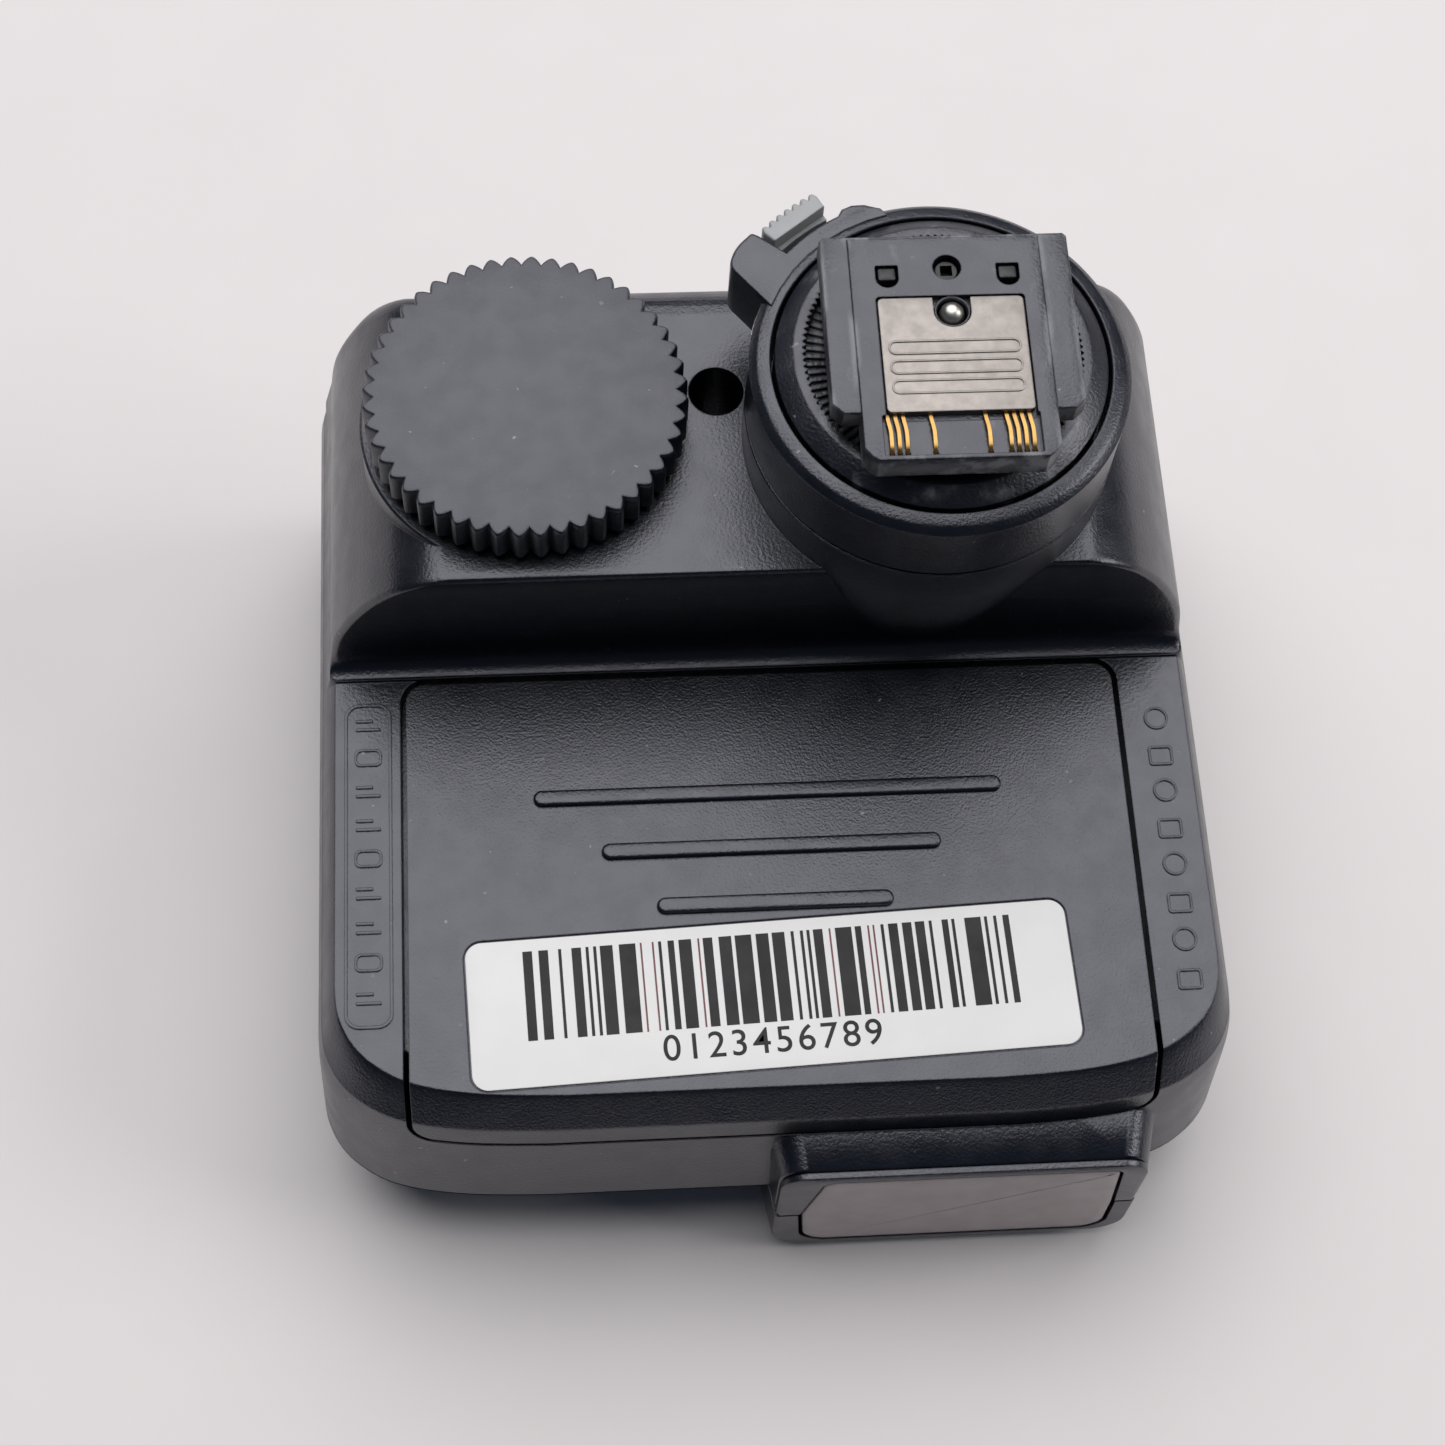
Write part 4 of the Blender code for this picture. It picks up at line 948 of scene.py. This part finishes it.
def lever_outline(inset):
    points = [polar(13.6, 103), polar(14.3, 104.5), polar(15.1 - inset, 108.5), polar(15.4 - inset, 112)]
    points += [polar(15.4 - inset, 115.2)]
    seat = (117.3, 120, 122, 125, 127, 130, 132, 135, 137.7 + inset * 3)
    points += [polar(15.0 - inset, a) for a in seat]
    tip = [(16.75, 138.1), (18.0, 138.6), (18.2, 140.5), (18.3, 144)]
    tip += [(18.2, 147), (17.9, 149.6), (17.3, 151)]
    points += [polar(r - inset, a + (inset * 3 if a < 142 else 0.0)) for r, a in flow(tip, 3)]
    points += [polar(14.3 - inset, 156), polar(13.6, 157)]
    return points + [polar(13.6, a) for a in (150, 142, 134, 126, 118, 110)]


def lock_ring():
    low = Z_SPLIT + RING_LIFT
    r = COLLAR_R - 0.04
    profile = [(RING_IN, Z_RING - 0.12), (RING_IN + 0.12, Z_RING), (13.85, Z_RING - 0.22)]
    profile += [(14.0, Z_RING - 0.30), (r, Z_RING - 0.82), (r, Z_RING - 0.95)]
    profile += [(r, low + 0.12), (r - 0.12, low), (11.6, low)]
    profile += [(11.6, low + RING_LIP), (RING_IN, low + RING_LIP)]
    ring = turned("lock_ring_fine", COLLAR, profile, closed=True)
    add(ring, cushion("lever_form", lever_outline, low + 1.3, Z_RING, 0.28))
    piece(ring, "ring", "shell_black", ["lock_ring"])
    # thin white strip on the sleeve just under its chamfer, at the lever's end
    inner = [polar(14.42, a) for a in range(166, 153, -1)]
    mark = prism("sleeve_white_strip", [polar(14.56, a) for a in range(154, 167)] + inner, 50.6, 51.0)
    piece(mark, "ring", "mark_white")


def button_outline(inset):
    """Ribbed outer face from the first to the last angle, and back along the inner face."""
    first, last = BUTTON_ANGLES
    low, high = first + inset * 3, last - inset * 3
    points = []
    for i in range(BUTTON_RIBS * 8 + 1):
        a = first + (last - first) * i / (BUTTON_RIBS * 8)
        wave = 0.5 + 0.5 * math.cos(math.pi * i / 4)
        points.append(polar(BUTTON_R[1] - inset - 0.4 * wave ** 2, min(max(a, low), high)))
    return points + [polar(BUTTON_R[0] + inset, high - (high - low) * i / 10) for i in range(11)]


def release_button():
    first, last = BUTTON_ANGLES
    button = cushion("release_button_fine", button_outline, Z_SPLIT + 1.8, Z_RING - 0.3, 0.2)
    corners = ((15.0, first - 1), (15.0, last + 1), (16.45, last + 1), (16.45, first - 1))
    ledge = [polar(r, a) for r, a in corners]
    cut(button, prism("ledge_space", ledge, Z_RING - 1.6, Z_RING + 2))
    piece(button, "release", "button_grey", ["release_button"])


def foot_core():
    flange = Z_SPLIT + RING_LIFT + RING_LIP + GAP
    profile = [(0, Z_RIM), (RIM_R - 0.08, Z_RIM), (RIM_R + 0.05, Z_RIM - 0.06), (CORE_R, Z_RING)]
    profile += [(CORE_R, flange), (11.2, flange), (11.2, Z_SPLIT), (0, Z_SPLIT)]
    core = turned("foot_core_fine", COLLAR, profile)
    points = []
    for i in range(WELL_RIBS * 6):
        swell = 0.5 + 0.5 * math.cos(2 * math.pi * i / 6)
        points.append(polar(WELL_R - 0.3 * swell, 360.0 * i / (WELL_RIBS * 6)))
    cut(core, prism("core_well", points, WELL_FLOOR, Z_RIM + 2))
    piece(core, "housing", "foot_black", ["foot_core"])
    rib_ring()


def rib_ring():
    """Step inside the rim with fine radial ribs on top."""
    top = Z_RIM - 1.0
    inner, outer = RIB_STEP_R
    profile = [(inner, WELL_FLOOR), (inner, top - 0.3), (outer, top - 0.3), (outer, WELL_FLOOR)]
    parts = [turned("rib_step", COLLAR, profile, 144, True)]
    for a in range(0, 360, 4):
        near = [polar(inner + 0.05, a - 1.2), polar(outer - 0.05, a - 1.0)]
        far = [polar(outer - 0.05, a + 1.0), polar(inner + 0.05, a + 1.2)]
        parts.append(prism("rib", near + far, top - 0.4, top))
    join("rib_ring", parts, "housing", "foot_black")


def wing_outline(inset):
    """Sliding flange: corners cut off, more at the front than at the rear."""
    x0, x1 = FOOT_X[0] + inset, FOOT_X[1] - inset
    y0, y1 = FOOT_Y[0] + inset, FOOT_Y[1] - inset
    front, rear = WING_CUTS
    return [(x0 + front, y0), (x1 - front, y0), (x1, y0 + front), (x1, y1 - rear),
            (x1 - rear, y1), (x0 + rear, y1), (x0, y1 - rear), (x0, y0 + front)]


def block_outline(inset):
    """Front block of the foot, with its two front corners softened."""
    x0, x1, y0, y1 = BLOCK_X[0] + inset, BLOCK_X[1] - inset, BLOCK_Y[0] + inset, BLOCK_Y[1] - inset
    n = BLOCK_CUT
    return [(x0 + n, y0), (x1 - n, y0), (x1 - n * 0.55, y0 + n * 0.3), (x1, y0 + n), (x1, y1),
            (x0, y1), (x0, y0 + n), (x0 + n * 0.55, y0 + n * 0.3)]


def edged(name, outline_at, z0, z1, edge):
    """Prism with a small flat on its top rim."""
    rings = [(0.0, z0), (0.0, z1 - edge), (edge * 0.35, z1 - edge * 0.3), (edge, z1)]
    return loft(name, [[(x, y, z) for x, y in outline_at(inset)] for inset, z in rings])


def foot_block():
    middle = (BLOCK_X[0] + BLOCK_X[1]) / 2
    block = box("foot_block_fine", middle - 6.2, middle + 6.2, 11.0, 25.0, WELL_FLOOR + 0.1, Z_FOOT)
    wings = edged("wing_form", wing_outline, Z_FOOT - 2.0, Z_FOOT - 0.15, 0.16)
    add(block, wings, edged("block_form", block_outline, Z_FOOT - 2.4, Z_FOOT, 0.12))
    cut(block, prism("plate_seat", rounded(*PLATE_SEAT, 0.3), Z_FOOT - 0.6, Z_FOOT + 1))
    cut(block, prism("contact_recess", rounded(*CONTACT_RECESS, 0.15), Z_FOOT - 0.5, Z_FOOT + 1))
    cut(block, rod("pin_bore", (*PIN, 52), (*PIN, 60), 1.25))
    cut(block, rod("foot_screw_bore", (*SCREW, 53), (*SCREW, 60), 1.06))
    for side in (-1, 1):
        x = SCREW[0] + side * CLAW_SPREAD
        hole = rounded(x - 0.85, x + 0.85, CLAW_Y - 0.95, CLAW_Y + 0.95, 0.82, 0.1)
        cut(block, prism("claw_hole", hole, WELL_FLOOR + 1, 60))
    slots = [box("slot", x - 0.19, x + 0.19, 7.4, 7.75, Z_FOOT - 1.4, Z_FOOT) for x in CONTACT_X]
    cut(block, *slots)
    rim = [(1.12, 0.3), (1.2, 0.14), (1.3, 0.12), (1.36, 0.3), (1.36, 0.7), (1.12, 0.7)]
    boss = turned("pin_boss", PIN, [(r, Z_FOOT - drop) for r, drop in rim], 72, True)
    piece(boss, "housing", "foot_black")
    piece(block, "housing", "foot_black", ["foot_block"])


def foot_plate():
    top = Z_FOOT - 0.02
    plate = edged("foot_plate_fine", shrinking(*PLATE, 0.4), Z_FOOT - 0.55, top, 0.08)
    notch = arc(*PIN, 1.4, 180, 360, 30) + [(PIN[0] + 1.4, 22), (PIN[0] - 1.4, 22)]
    cut(plate, prism("plate_notch", notch, Z_FOOT - 1, Z_FOOT + 1))
    piece(plate, "housing", "plate_grey", ["foot_plate"])
    lines = []
    for i in range(3):
        y = 12.3 + i * 1.66
        outline = shrinking(8.2, 18.0, y, y + 1.2, 0.58, 1.0)
        lines.append(ring_prism("stadium", outline, 0.15, top - 0.1, top + 0.07))
    join("plate_embossing", lines, "housing", "plate_grey")


def foot_details():
    tip = [(0, 58.3), (0.25, 58.27), (0.5, 58.17), (0.72, 57.98), (0.88, 57.7), (0.95, 57.3)]
    pin = turned("centre_pin_fine", PIN, tip + [(0.95, 52.5), (0, 52.5)], 72)
    piece(pin, "pin", "pin_steel", ["centre_pin"])
    top = Z_FOOT - 0.5
    foot_screw(top)
    for side, word in ((-1, "left"), (1, "right")):
        x = SCREW[0] + side * CLAW_SPREAD
        outline = shrinking(x - 0.72, x + 0.72, CLAW_Y - 0.3, CLAW_Y + 0.88, 0.2)
        claw = edged(f"claw_{word}_fine", outline, WELL_FLOOR + 1.3, top + 0.42, 0.25)
        piece(claw, "claws", "claw_grey", [f"claw_{word}"])
    for i, x in enumerate(CONTACT_X, 1):
        foot_contact(i, x, top)


def foot_screw(top):
    edge = [(0, top), (0.8, top), (0.92, top - 0.1), (0.95, top - 0.25), (0.95, 53.2), (0, 53.2)]
    head = turned("foot_screw_fine", SCREW, edge, 72)
    x, y = SCREW
    cut(head, box("screw_socket", x - 0.44, x + 0.44, y - 0.44, y + 0.44, 56.4, 60))
    piece(head, "housing", "claw_grey", ["foot_screw"])


def foot_contact(number, x, top):
    """Spring contact: a gold strip that bows up and dips into its slot."""
    path = [(x - 0.16, 10.75, top + 0.12), (x - 0.14, 10.3, top + 0.24), (x - 0.02, 9.4, top + 0.33)]
    path += [(x, 8.7, top + 0.31), (x, 8.0, top + 0.15), (x, 7.62, top - 0.2), (x, 7.58, top - 0.6)]
    strip = ribbon(f"foot_contact_{number}_fine", flow(path, 4), CONTACT_HALF, CONTACT_THICK)
    piece(strip, "housing", "gold", [f"foot_contact_{number}"])


def ribbon(name, path, half, thick):
    """Flat strip along a path that runs along -Y, half wide to each side."""
    rings = []
    for i, (x, y, z) in enumerate(path):
        ahead = Vector(path[min(i + 1, len(path) - 1)]) - Vector(path[max(i - 1, 0)])
        rise = Vector((0, ahead.z, -ahead.y)).normalized() * thick
        rings.append([(x - half, y - rise.y, z - rise.z), (x + half, y - rise.y, z - rise.z),
                      (x + half * 0.8, y + rise.y, z + rise.z), (x - half * 0.8, y + rise.y, z + rise.z)])
    return loft(name, rings)


# ---------------------------------------------------------------- carried-over parts

def key_marks():
    """Small raised dots and bars on the keys of the display side."""
    under, proud = KEY_MARK_Z
    for i, y in enumerate(GROUP_Y, 1):
        places = [GROUP_X + (k - (i - 1) / 2) * 0.9 for k in range(i)]
        dots = [rod("dot", (x, y, proud), (x, y, under), 0.26, 24) for x in places]
        join(f"group_mark_{i}", dots, f"group_key_{i}", "mark_white")
    for i, x in enumerate(FUNCTION_X, 1):
        outline = rounded(x - 1.2, x + 1.2, FUNCTION_Y - 0.15, FUNCTION_Y + 0.15, 0.14)
        join(f"function_mark_{i}", [prism("bar", outline, under, proud)], f"function_key_{i}", "mark_white")
    profile = [(2.2, under), (2.5, under), (2.5, proud), (2.2, proud)]
    piece(turned("set_mark", SET_BUTTON, profile, 72, True), "set_key", "mark_white")


def dress_nodes():
    """Gives every part that is shown as built its look."""
    for node in NODES.values():
        slot = node.data.materials[0].name.split(".")[0]
        node.data.materials[0] = MATERIALS[slot]
        for poly in node.data.polygons:
            poly.use_smooth = True
        node.data.set_sharp_from_angle(angle=math.radians(30))


MATERIALS = make_materials()
make_camera()
make_floor()
make_studio()
shoe_shell()
display_shell()
side_marks()
battery_door()
lamp_parts()
dial()
lock_ring()
release_button()
foot_core()
foot_block()
foot_plate()
foot_details()
key_marks()
dress_nodes()
